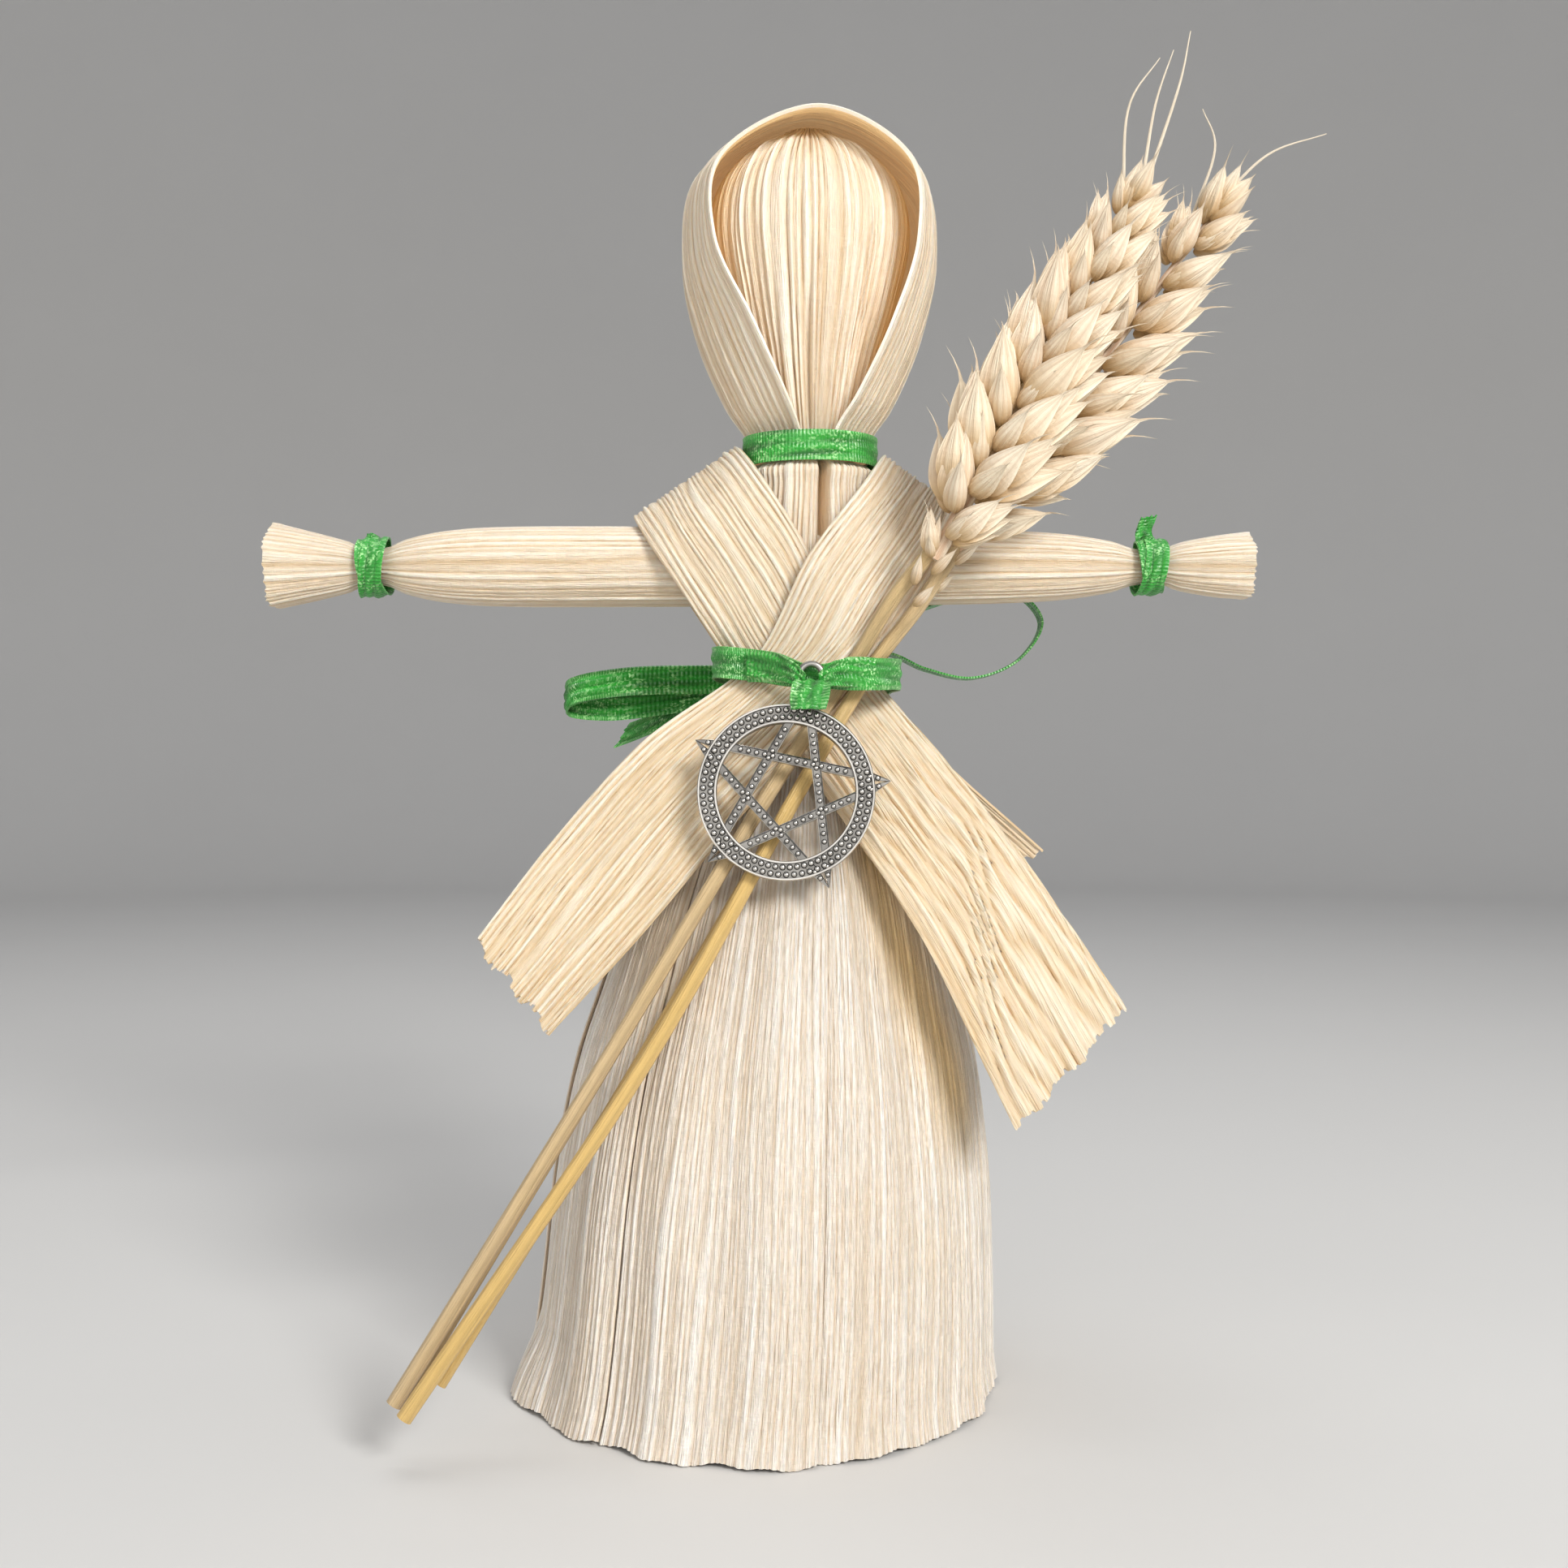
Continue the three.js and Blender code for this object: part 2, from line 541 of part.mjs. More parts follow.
const FORMS = [
  ["skirt", "husk", skirt],
  ["head_and_body", "husk", headAndBody],
  ["hood", "husk", hood],
  ["arms", "husk", arms],
  ["shawl_from_left_shoulder", "husk", shawlFromLeft],
  ["shawl_from_right_shoulder", "husk", shawlFromRight],
  ["neck_ribbon", "ribbon", neckRibbon],
  ["waist_ribbon", "ribbon", waistRibbon],
  ["wrist_ribbon_left", "ribbon", () => wristRibbon(-83, 5, [])],
  ["wrist_ribbon_right", "ribbon", () => {
    const stub = [vec(-4.6, 0.4, 0), vec(-7.6, 0.8, -0.6), vec(-10.4, 0, 0)];
    return wristRibbon(74, 4.6, [ribbonPiece(stub, [vec(0, 0, 2), vec(0, 0, 1.6), vec(0, 0.6, 1.6)], 4)]);
  }],
  ["charm", "silver", charm],
  ["wheat_left", "wheat", wheatLeft],
  ["wheat_right", "wheat", wheatRight],
  ["straw_pale", "paleStraw", () => rod(LOOSE_STRAWS.straw_pale, 0.9, 6, 5)],
  ["straw_tan", "straw", () => rod(LOOSE_STRAWS.straw_tan, 1, 6, 5)],
];

const doll = new THREE.Group();
for (const [name, finish, make] of FORMS) {
  const { numProp, vertProperties, triVerts } = make().getMesh();
  const points = Array.from({ length: vertProperties.length / numProp }, (_, i) =>
    vertProperties.slice(i * numProp, i * numProp + 3),
  );
  const geometry = new THREE.BufferGeometry()
    .setAttribute("position", new THREE.Float32BufferAttribute(points.flatMap((p) => [...p]), 3))
    .setIndex([...triVerts]);
  geometry.computeVertexNormals();
  const metal = finish === "silver";
  const material = new THREE.MeshStandardMaterial({
    color: COLOURS[finish],
    roughness: metal ? 0.35 : 0.7,
    metalness: metal ? 1 : 0,
    flatShading: true,
  });
  const mesh = new THREE.Mesh(geometry, material);
  mesh.name = name;
  doll.add(mesh);
}

export default doll;
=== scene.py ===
"""A corn husk doll tied with green satin ribbon, with two ears of wheat and a silver charm."""

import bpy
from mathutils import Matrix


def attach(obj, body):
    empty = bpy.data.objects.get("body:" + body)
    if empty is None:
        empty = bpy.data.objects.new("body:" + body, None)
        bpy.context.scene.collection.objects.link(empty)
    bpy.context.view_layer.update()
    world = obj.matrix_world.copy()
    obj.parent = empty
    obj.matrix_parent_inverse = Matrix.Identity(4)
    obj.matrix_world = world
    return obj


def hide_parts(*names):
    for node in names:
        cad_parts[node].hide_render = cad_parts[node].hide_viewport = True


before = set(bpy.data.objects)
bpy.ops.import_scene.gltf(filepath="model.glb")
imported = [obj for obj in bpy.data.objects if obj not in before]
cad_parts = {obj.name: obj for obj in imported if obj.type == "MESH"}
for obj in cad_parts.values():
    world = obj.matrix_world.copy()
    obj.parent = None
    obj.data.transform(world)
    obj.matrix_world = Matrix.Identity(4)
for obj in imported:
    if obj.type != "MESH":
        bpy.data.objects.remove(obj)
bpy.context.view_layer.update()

import math

import bpy
import numpy as np
from mathutils import Matrix, Vector

bl_info = {
    "name": "Corn husk doll",
    "version": (1, 0, 0),
    "blender": (4, 5, 0),
    "location": "3D View > Sidebar > Husk doll",
    "description": "Builds a corn husk doll piece by piece around its solid frame",
    "category": "Add Mesh",
}

MM = 0.001
TURN = 2 * math.pi
BODY = "root"

# The doll's own sizes in millimetres, as in its solid source
HUSK_STEP = 0.9
SKIRT_HUSKS = 7
NECK = {"x": 5.3, "z": 186.3, "half_width": 13.45, "half_depth": 10.7}
HEAD_X = 5.1
ARM_Z = 163.5
CHARM = {"x": 0.4, "y": -31.2, "z": 118, "outer": 16.4, "inner": 12.8, "tips": 19.4, "thick": 2, "lean": 7}


def srgb(red, green, blue):
    """A colour as a screen shows it, from 0 to 255, turned into the light values that a shader takes."""
    def light(value):
        value = value / 255
        return value / 12.92 if value <= 0.04045 else ((value + 0.055) / 1.055) ** 2.4
    return light(red), light(green), light(blue)


# Shapes: smooth functions and curves

def ease(value, start, end):
    """0 before start, 1 past end, and smooth between them."""
    share = np.clip((value - start) / (end - start), 0, 1)
    return share * share * (3 - 2 * share)


def bell(value, middle, width):
    """1 at the middle, falling smoothly to nothing about two widths to either side."""
    return np.exp(-(((value - middle) / width) ** 2))


def smooth(steps):
    """A smooth function through steps of (place, value), flat past both ends."""
    places, values = np.array(steps, float).T
    last = len(steps) - 1
    before = np.maximum(np.arange(last + 1) - 1, 0)
    after = np.minimum(np.arange(last + 1) + 1, last)
    slopes = (values[after] - values[before]) / (places[after] - places[before])

    def read(place):
        i = np.clip(np.searchsorted(places, place, side="right") - 1, 0, last - 1)
        gap = places[i + 1] - places[i]
        share = np.clip((place - places[i]) / gap, 0, 1)
        rise = (2 * share - 3) * share * share
        bend = gap * share * (1 - share)
        turn = (1 - share) * slopes[i] - share * slopes[i + 1]
        return values[i] * (1 + rise) - values[i + 1] * rise + bend * turn

    return read


def through(before, start, end, after, share):
    """A point at a share of the way from start to end, on a curve that also passes before and after."""
    def gap(a, b):
        return np.maximum(np.linalg.norm(b - a, axis=-1, keepdims=True), 1e-6) ** 0.5
    g0, g1, g2 = gap(before, start), gap(start, end), gap(end, after)
    t = share[:, None]
    slope_in = ((start - before) / g0 - (end - before) / (g0 + g1) + (end - start) / g1) * g1
    slope_out = ((end - start) / g1 - (after - start) / (g1 + g2) + (after - end) / g2) * g1
    square = -3 * start + 3 * end - 2 * slope_in - slope_out
    cube = 2 * start - 2 * end + slope_in + slope_out
    return start + t * (slope_in + t * (square + t * cube))


class Path:
    """A smooth curve through points, read at places from 0 to 1."""

    def __init__(self, points, closed=False):
        points = np.array(points, float)
        self.spans = len(points) - 1
        if closed:
            self.spans += 1
            self.points = np.concatenate([points[-1:], points, points[:2]])
        else:
            first = 2 * points[:1] - points[1:2]
            last = 2 * points[-1:] - points[-2:-1]
            self.points = np.concatenate([first, points, last])

    def at(self, places):
        where = np.clip(np.asarray(places, float), 0, 1) * self.spans
        i = np.minimum(where.astype(int), self.spans - 1)
        p = self.points
        return through(p[i], p[i + 1], p[i + 2], p[i + 3], where - i)

    def heading(self, places):
        """Which way the curve runs at each place, as unit vectors."""
        small = 1e-4
        places = np.asarray(places, float)
        return unit(self.at(places + small) - self.at(places - small))

    def length(self):
        points = self.at(np.linspace(0, 1, 200))
        return float(np.linalg.norm(np.diff(points, axis=0), axis=1).sum())


def unit(vectors):
    return vectors / np.maximum(np.linalg.norm(vectors, axis=-1, keepdims=True), 1e-9)


def ribs(across, along, count, seed, wander=0.2, sharp=0.8):
    """Rounded ribs of uneven width and height, from 0 in a valley to 1 on a ridge."""
    draw = np.random.RandomState(seed)
    heights = draw.uniform(0.5, 1, count + 3)
    phases = draw.uniform(0, TURN, count + 3)
    sway = np.sin(TURN * 1.1 * along + 5 * across + seed) + 0.5 * np.sin(TURN * 2.7 * along + 11 * across)
    x = across * count
    uneven = 0.4 * np.sin(0.9 * x + seed) + 0.2 * np.sin(2.1 * x + 2 * seed)
    x = x + (wander * sway + uneven) * np.sin(np.pi * np.clip(across, 0, 1)) ** 0.3
    k = np.clip(np.floor(x).astype(int) + 1, 0, count + 2)
    swell = 0.82 + 0.18 * np.sin(9 * along + phases[k])
    return heights[k] * swell * np.abs(np.sin(np.pi * x)) ** sharp


# Mesh tools

def deselect():
    bpy.ops.object.select_all(action="DESELECT")


def only(piece):
    deselect()
    piece.select_set(True)
    bpy.context.view_layer.objects.active = piece


def read_points(mesh):
    flat = np.empty(len(mesh.vertices) * 3)
    mesh.vertices.foreach_get("co", flat)
    return flat.reshape(-1, 3)


def write_points(mesh, points):
    mesh.vertices.foreach_set("co", np.asarray(points).ravel())
    mesh.update()


def paint(mesh, name, values):
    """Writes one number for each vertex, which the materials read."""
    attribute = mesh.attributes.get(name) or mesh.attributes.new(name, "FLOAT", "POINT")
    attribute.data.foreach_set("value", np.broadcast_to(values, len(mesh.vertices)).astype(np.float32))


def sheet(name, along, across, place):
    """A grid whose points go where place puts them, with their grain in millimetres, a painted relief light
    with some real tone, and a tint with painted amber light.
    """
    deselect()
    bpy.ops.mesh.primitive_grid_add(x_subdivisions=along, y_subdivisions=across, size=1)
    piece = bpy.context.object
    piece.name = piece.data.name = name
    mesh = piece.data
    u, v = (read_points(mesh)[:, :2] + 0.5).T
    points, lay, fold, warm = place(u, v)
    write_points(mesh, points * MM)
    # Two values for the materials: painted shade and highlight of the relief with some real tone, and a tint
    # with painted amber light.
    paint(mesh, "fold", fold)
    paint(mesh, "warm", warm)
    corners = np.empty(len(mesh.loops), np.int32)
    mesh.loops.foreach_get("vertex_index", corners)
    grain = np.stack(np.broadcast_arrays(*lay, u)[:2], axis=1) / 10
    mesh.uv_layers.new(name="grain").data.foreach_set("uv", grain[corners].ravel())
    return piece


def close(piece):
    """Joins the doubled points at seams and poles, and turns the faces out."""
    only(piece)
    bpy.ops.object.mode_set(mode="EDIT")
    bpy.ops.mesh.select_all(action="SELECT")
    bpy.ops.mesh.remove_doubles(threshold=0.000004)
    bpy.ops.mesh.normals_make_consistent(inside=False)
    bpy.ops.object.mode_set(mode="OBJECT")
    return piece


def finish_modifier(piece, kind, **settings):
    only(piece)
    modifier = piece.modifiers.new(kind.title(), kind)
    for key, value in settings.items():
        setattr(modifier, key, value)
    bpy.ops.object.modifier_apply(modifier=modifier.name)
    return piece


def thicken(piece, thick, inside=0):
    """Gives a sheet its thickness on its inner side, which may take another material slot."""
    return finish_modifier(piece, "SOLIDIFY", thickness=thick, offset=-1, material_offset=inside)


def join(name, pieces):
    only(pieces[0])
    for piece in pieces:
        piece.select_set(True)
    if len(pieces) > 1:
        bpy.ops.object.join()
    whole = bpy.context.object
    whole.name = whole.data.name = name
    return whole


def copies(name, source, places, vary=0.0, seed=1):
    """One copy of the source for each matrix, joined into a single piece; the source goes."""
    made = []
    draw = np.random.RandomState(seed)
    tones = {}
    for key in ("fold", "warm"):
        tones[key] = np.empty(len(source.data.vertices), np.float32)
        source.data.attributes[key].data.foreach_get("value", tones[key])
    for place in places:
        mesh = source.data.copy()
        mesh.transform(place)
        paint(mesh, "fold", tones["fold"] * (1 - draw.uniform(0, vary)))
        paint(mesh, "warm", tones["warm"] + draw.uniform(0, 0.6 * vary))
        copy = bpy.data.objects.new(name, mesh)
        bpy.context.collection.objects.link(copy)
        made.append(copy)
    bpy.data.objects.remove(source)
    return join(name, made)


def dress(piece, materials, nodes=(), angle=60):
    """Finishes a piece: smooth faces, its materials, the body it rides on and the solid it stands for."""
    only(piece)
    bpy.ops.object.transform_apply(location=True, rotation=True, scale=True)
    bpy.ops.object.shade_smooth_by_angle(angle=math.radians(angle))
    if piece.data.materials:
        for i, material in enumerate(materials):
            piece.data.materials[i] = material
    else:
        for material in materials:
            piece.data.materials.append(material)
    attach(piece, BODY)
    if nodes:
        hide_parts(*nodes)
    return piece


def strip(name, stations, along, across, thick, relief=None, cut=None, warm=0):
    """A flat strip through stations of (middle, half of its width as a vector, crown), in millimetres."""
    middle = Path([s[0] for s in stations])
    half = Path([s[1] for s in stations])
    rise = Path([[s[2] if len(s) > 2 else 0, 0, 0] for s in stations])
    long = middle.length()

    def place(u, v):
        q = 2 * v - 1
        heading = middle.heading(u)
        wide = half.at(u)
        out = unit(np.cross(heading, wide))
        height, fold = relief(u, q) if relief else (0 * u, 0.6 + 0 * u)
        end = cut(u, q) if cut else 0 * u
        lift = rise.at(u)[:, 0] * (1 - q * q) + height + thick / MM / 2
        points = middle.at(u) + wide * q[:, None] + out * lift[:, None] + heading * end[:, None]
        width = np.linalg.norm(wide, axis=1)
        tint_and_light_share = warm(u, q) if callable(warm) else warm
        return points, (u * long, q * width), fold, tint_and_light_share

    return thicken(sheet(name, along, across, place), thick)


def tube(name, points, radius, sides, steps, fold=0.6, warm=lambda v: 0 * v):
    """A tube with flat ends along a smooth path, with its radius in millimetres read along it."""
    path = Path(points)
    long = path.length()
    ahead = np.array([0, 1, 0.01])

    def place(u, v):
        size = np.where((v < 1e-6) | (v > 1 - 1e-6), 0, 1)
        v = np.clip((v - 1 / steps) / (1 - 2 / steps), 0, 1)
        heading = path.heading(v)
        side = unit(np.cross(heading, ahead))
        up = np.cross(side, heading)
        size = size * radius(v)
        angle = TURN * u
        around = side * np.cos(angle)[:, None] + up * np.sin(angle)[:, None]
        groove = fold + 0.3 * np.cos(5 * angle) + 0.2 * np.cos(8 * angle + 1)
        return path.at(v) + around * size[:, None], (v * long, u * TURN * 1.2), groove, warm(v)

    return close(sheet(name, sides, steps, place))


# Material tools

def add(tree, kind, inputs=None, **settings):
    """A node with its settings, and each input either linked or given a value."""
    node = tree.nodes.new(kind)
    for key, value in settings.items():
        setattr(node, key, value)
    for key, value in (inputs or {}).items():
        if isinstance(value, bpy.types.NodeSocket):
            tree.links.new(value, node.inputs[key])
        else:
            node.inputs[key].default_value = value
    return node


def maths(tree, operation, first, second=0.0, third=0.0):
    return add(tree, "ShaderNodeMath", {0: first, 1: second, 2: third}, operation=operation).outputs[0]


def remap(tree, value, low, high, to_low, to_high):
    inputs = {"Value": value, "From Min": low, "From Max": high, "To Min": to_low, "To Max": to_high}
    return add(tree, "ShaderNodeMapRange", inputs).outputs["Result"]


def blend(tree, share, first, second, mode="MIX"):
    node = add(tree, "ShaderNodeMix", {0: share, 6: first, 7: second}, data_type="RGBA", blend_type=mode)
    return node.outputs[2]


def scaled(tree, vector, factors):
    node = add(tree, "ShaderNodeVectorMath", {0: vector, 1: factors}, operation="MULTIPLY")
    return node.outputs[0]


def noise(tree, vector, scale=1.0, detail=2.0, rough=0.5):
    inputs = {"Vector": vector, "Scale": scale, "Detail": detail, "Roughness": rough}
    return add(tree, "ShaderNodeTexNoise", inputs).outputs["Fac"]


def new_group(name, inputs, outputs):
    """A shader node group with named inputs and outputs, each given as (name, socket kind)."""
    group = bpy.data.node_groups.new(name, "ShaderNodeTree")
    for label, kind in inputs:
        group.interface.new_socket(name=label, in_out="INPUT", socket_type="NodeSocket" + kind)
    for label, kind in outputs:
        group.interface.new_socket(name=label, in_out="OUTPUT", socket_type="NodeSocket" + kind)
    return group, group.nodes.new("NodeGroupInput").outputs, group.nodes.new("NodeGroupOutput").inputs


def grain_group():
    """Fibres, streaks and fine cross creases of dried leaf, laid along the grain map in centimetres."""
    name = "Dried leaf grain"
    if name in bpy.data.node_groups:
        return bpy.data.node_groups[name]
    group, start, end = new_group(
        name,
        [("Grain", "Vector"), ("Place", "Vector")],
        [("Shade", "Float"), ("Height", "Float"), ("Patch", "Float")],
    )
    fibre = noise(group, scaled(group, start["Grain"], (1.3, 42, 1)), detail=2.0, rough=0.6)
    streak = noise(group, scaled(group, start["Grain"], (0.35, 9, 1)), detail=2.0)
    crease = noise(group, scaled(group, start["Grain"], (16, 5, 1)), detail=3.0, rough=0.6)
    patch = noise(group, start["Place"], scale=62, detail=3.0)
    fine = remap(group, fibre, 0.3, 0.7, 0, 1)
    broad = remap(group, streak, 0.32, 0.68, 0, 1)
    shade = maths(group, "MULTIPLY_ADD", fine, 0.45, maths(group, "MULTIPLY", broad, 0.55))
    height = maths(group, "MULTIPLY_ADD", fine, 0.62, maths(group, "MULTIPLY", crease, 0.38))
    group.links.new(shade, end["Shade"])
    group.links.new(height, end["Height"])
    group.links.new(remap(group, patch, 0.42, 0.68, 0, 1), end["Patch"])
    return group


def weave_group():
    """Fine crossed threads of satin ribbon, with a mask of painted glints on a few of them and the edge's
    stitches, and the share of painted shade where it is crumpled.
    """
    name = "Satin threads"
    if name in bpy.data.node_groups:
        return bpy.data.node_groups[name]
    group, start, end = new_group(
        name,
        [("Grain", "Vector")],
        [("Height", "Float"), ("Glint", "Float"), ("Crumple", "Float")],
    )
    parts = add(group, "ShaderNodeSeparateXYZ", {0: start["Grain"]}).outputs
    threads = scaled(group, start["Grain"], (24, 28, 1))
    cells = add(group, "ShaderNodeTexVoronoi", {"Vector": threads, "Scale": 1.0})
    thread = add(group, "ShaderNodeSeparateColor", {0: cells.outputs["Color"]}).outputs[0]
    weft = maths(group, "SINE", maths(group, "MULTIPLY", parts["X"], TURN * 15))
    crumple = noise(group, scaled(group, start["Grain"], (0.9, 6, 1)), detail=2.0)
    patch = remap(group, noise(group, scaled(group, start["Grain"], (1.3, 0.6, 1))), 0.42, 0.6, 0.12, 1)
    # Painted glints on a few threads.
    spark = maths(group, "MULTIPLY", remap(group, thread, 0.6, 0.95, 0, 1), patch)
    rise = maths(group, "MULTIPLY_ADD", thread, 0.8, maths(group, "MULTIPLY", weft, 0.2))
    border = remap(group, maths(group, "ABSOLUTE", parts["Y"]), 0.2, 0.235, 0, 1)
    stitch = maths(group, "MULTIPLY", border, remap(group, weft, -0.4, 0.4, 0, 0.3))
    group.links.new(maths(group, "MULTIPLY_ADD", crumple, 1.6, rise), end["Height"])
    group.links.new(maths(group, "MINIMUM", maths(group, "ADD", spark, stitch), 1.0), end["Glint"])
    # The crumple share sets the painted shade of the crumpled satin.
    group.links.new(remap(group, crumple, 0.38, 0.62, 0, 1), end["Crumple"])
    return group


def surface(name):
    """A material with its shader, the grain map and place that its patterns read."""
    material = bpy.data.materials.new(name)
    material.use_nodes = True
    tree = material.node_tree
    shader = tree.nodes["Principled BSDF"]
    grain = add(tree, "ShaderNodeUVMap", uv_map="grain").outputs["UV"]
    place = add(tree, "ShaderNodeTexCoord").outputs["Object"]
    return material, tree, shader, grain, place


def attribute(tree, name):
    return add(tree, "ShaderNodeAttribute", attribute_name=name).outputs["Fac"]


def emboss(tree, shader, height, strength, distance):
    """Turns a height pattern into the fine relief that a shader shows, with its depth in metres."""
    relief = add(tree, "ShaderNodeBump", {"Strength": strength, "Distance": distance, "Height": height})
    tree.links.new(relief.outputs["Normal"], shader.inputs["Normal"])


def leaf_material(name, ridge, valley, warm, rough=0.5, bump=0.6, sheen=0.1, glow=0.0, light=0.0):
    """Dried husk, straw or chaff: paler with a painted highlight on its ridges, with painted brown shade in
    its valleys, and amber where it takes a golden tint and where a painted glow is laid on it.

    Glow is the share of light that spreads inside it, and light the strength of a painted glow, given off by
    the leaf itself, that stands for what a thin leaf lets through from behind.
    """
    material, tree, shader, grain, place = surface(name)
    group = add(tree, "ShaderNodeGroup", node_tree=grain_group())
    tree.links.new(grain, group.inputs["Grain"])
    tree.links.new(place, group.inputs["Place"])
    # Painted shade in the valleys and a painted highlight on the ridges, from the relief value painted on
    # each vertex.
    fold = remap(tree, attribute(tree, "fold"), 0.02, 0.8, 0, 1)
    lit = maths(tree, "MULTIPLY_ADD", group.outputs["Shade"], 0.3, maths(tree, "MULTIPLY", fold, 0.7))
    colour = blend(tree, lit, (*valley, 1), (*ridge, 1))
    # Amber mixed in by the second vertex value: a golden tint on straw and chaff, and a painted amber glow
    # and shadow on the husk.
    tint_and_light_share = maths(tree, "MULTIPLY_ADD", group.outputs["Patch"], 0.07, attribute(tree, "warm"))
    tint_and_light_share = maths(tree, "MINIMUM", tint_and_light_share, 1.0)
    colour = blend(tree, tint_and_light_share, colour, blend(tree, lit, (*[0.62 * c for c in warm], 1), (*warm, 1)))
    tree.links.new(colour, shader.inputs["Base Color"])
    gloss = remap(tree, group.outputs["Shade"], 0, 1, rough + 0.12, rough - 0.08)
    tree.links.new(gloss, shader.inputs["Roughness"])
    emboss(tree, shader, group.outputs["Height"], bump, 0.0006)
    shader.inputs["Sheen Weight"].default_value = sheen
    shader.inputs["Specular IOR Level"].default_value = 0.4
    shader.inputs["Subsurface Weight"].default_value = glow
    shader.inputs["Subsurface Radius"].default_value = (1.0, 0.55, 0.25)
    shader.inputs["Subsurface Scale"].default_value = 0.0014
    # The emission is a painted glow that stands for light coming through the thin leaf.
    shader.inputs["Emission Color"].default_value = (*warm, 1)
    shader.inputs["Emission Strength"].default_value = light
    return material


def ribbon_material(name, colour, glint):
    """Green satin, with painted shade in its creases and crumples and painted glints on threads that glitter.
    """
    material, tree, shader, grain, place = surface(name)
    group = add(tree, "ShaderNodeGroup", node_tree=weave_group())
    tree.links.new(grain, group.inputs["Grain"])
    # Painted shade: darker green where the ribbon is crumpled.
    dark = tuple(0.62 * c for c in colour)
    shade = blend(tree, group.outputs["Crumple"], (*dark, 1), (*colour, 1))
    # Painted glints on a few threads, blended with the stitches along the edge.
    shade = blend(tree, maths(tree, "MULTIPLY", group.outputs["Glint"], 0.8), shade, (*glint, 1))
    # Painted shade in the ribbon's creases, from the relief value on each vertex.
    deep = remap(tree, attribute(tree, "fold"), 0, 0.5, 0.45, 1)
    crease = add(tree, "ShaderNodeCombineColor", {0: deep, 1: deep, 2: deep}).outputs[0]
    shade = blend(tree, 1.0, shade, crease, "MULTIPLY")
    tree.links.new(shade, shader.inputs["Base Color"])
    tree.links.new(remap(tree, group.outputs["Glint"], 0, 1, 0.36, 0.18), shader.inputs["Roughness"])
    emboss(tree, shader, group.outputs["Height"], 0.6, 0.0005)
    shader.inputs["Sheen Weight"].default_value = 0.08
    return material


def silver_material(name, bright, dark):
    """Cast silver: bright on the beads and rims, and dark where it is tarnished between them."""
    material, tree, shader, grain, place = surface(name)
    cast = noise(tree, place, scale=900, detail=3.0)
    cloud = noise(tree, place, scale=160, detail=2.0)
    level = maths(tree, "MULTIPLY_ADD", cloud, 0.3, attribute(tree, "fold"))
    share = remap(tree, level, 0.25, 0.85, 0, 1)
    tree.links.new(blend(tree, share, (*dark, 1), (*bright, 1)), shader.inputs["Base Color"])
    tree.links.new(remap(tree, share, 0, 1, 0.55, 0.24), shader.inputs["Roughness"])
    emboss(tree, shader, cast, 0.25, 0.0002)
    shader.inputs["Metallic"].default_value = 1.0
    return material


# What a user may change

class DollSizes(bpy.types.PropertyGroup):
    husk_thickness: bpy.props.FloatProperty(
        name="Husk thickness", description="Thickness of each sheet of husk",
        default=0.0005, min=0.0002, max=0.0012, subtype="DISTANCE", unit="LENGTH")
    rib_depth: bpy.props.FloatProperty(
        name="Rib depth", description="Height of the husk's ribs above its valleys",
        default=0.0007, min=0.0, max=0.0012, subtype="DISTANCE", unit="LENGTH")
    ribbon_thickness: bpy.props.FloatProperty(
        name="Ribbon thickness", description="Thickness of the satin ribbon",
        default=0.0004, min=0.0002, max=0.001, subtype="DISTANCE", unit="LENGTH")
    straw_radius: bpy.props.FloatProperty(
        name="Straw radius", description="Radius of the two wheat stalks",
        default=0.00145, min=0.0008, max=0.002, subtype="DISTANCE", unit="LENGTH")
    bead_radius: bpy.props.FloatProperty(
        name="Bead radius", description="Radius of the beads on the charm",
        default=0.0006, min=0.0002, max=0.0007, subtype="DISTANCE", unit="LENGTH")


def colour_property(name, description, *levels):
    return bpy.props.FloatVectorProperty(
        name=name, description=description, default=srgb(*levels), min=0, max=1, size=3, subtype="COLOR")


class DollColours(bpy.types.PropertyGroup):
    # Husk is the ridges' pale colour with a painted highlight, and husk valleys the painted shade between the
    # ribs.
    husk: colour_property("Husk", "Pale ridges of the husk", 254, 246, 230)
    husk_valley: colour_property("Husk valleys", "Brown between the husk's ribs", 210, 178, 134)
    # Amber is the colour of a painted glow, light through the husk on its inner side and in its shade.
    amber: colour_property("Amber", "Warm inner side of the husk", 250, 209, 138)
    ribbon: colour_property("Ribbon", "Green of the satin ribbon", 44, 160, 48)
    # Ribbon glint is the colour of painted glints.
    ribbon_glint: colour_property("Ribbon glint", "Threads that catch the light", 190, 250, 170)
    silver: colour_property("Silver", "Bright metal of the charm", 200, 196, 189)
    tarnish: colour_property("Tarnish", "Dark metal between the beads", 44, 41, 38)
    chaff: colour_property("Chaff", "Papery chaff of the wheat ears", 255, 244, 220)
    # Chaff shade is the chaff's pinkish brown at its foot and the painted shade between its veins.
    chaff_shade: colour_property("Chaff shade", "Pinkish brown at the foot of the chaff", 176, 130, 96)
    straw: colour_property("Straw", "Golden straw", 222, 184, 108)
    pale_straw: colour_property("Pale straw", "Weathered straw", 206, 180, 140)
    floor: colour_property("Floor", "Pale studio floor", 214, 212, 208)


def sizes():
    return bpy.context.scene.doll_sizes


def colours():
    return bpy.context.scene.doll_colours


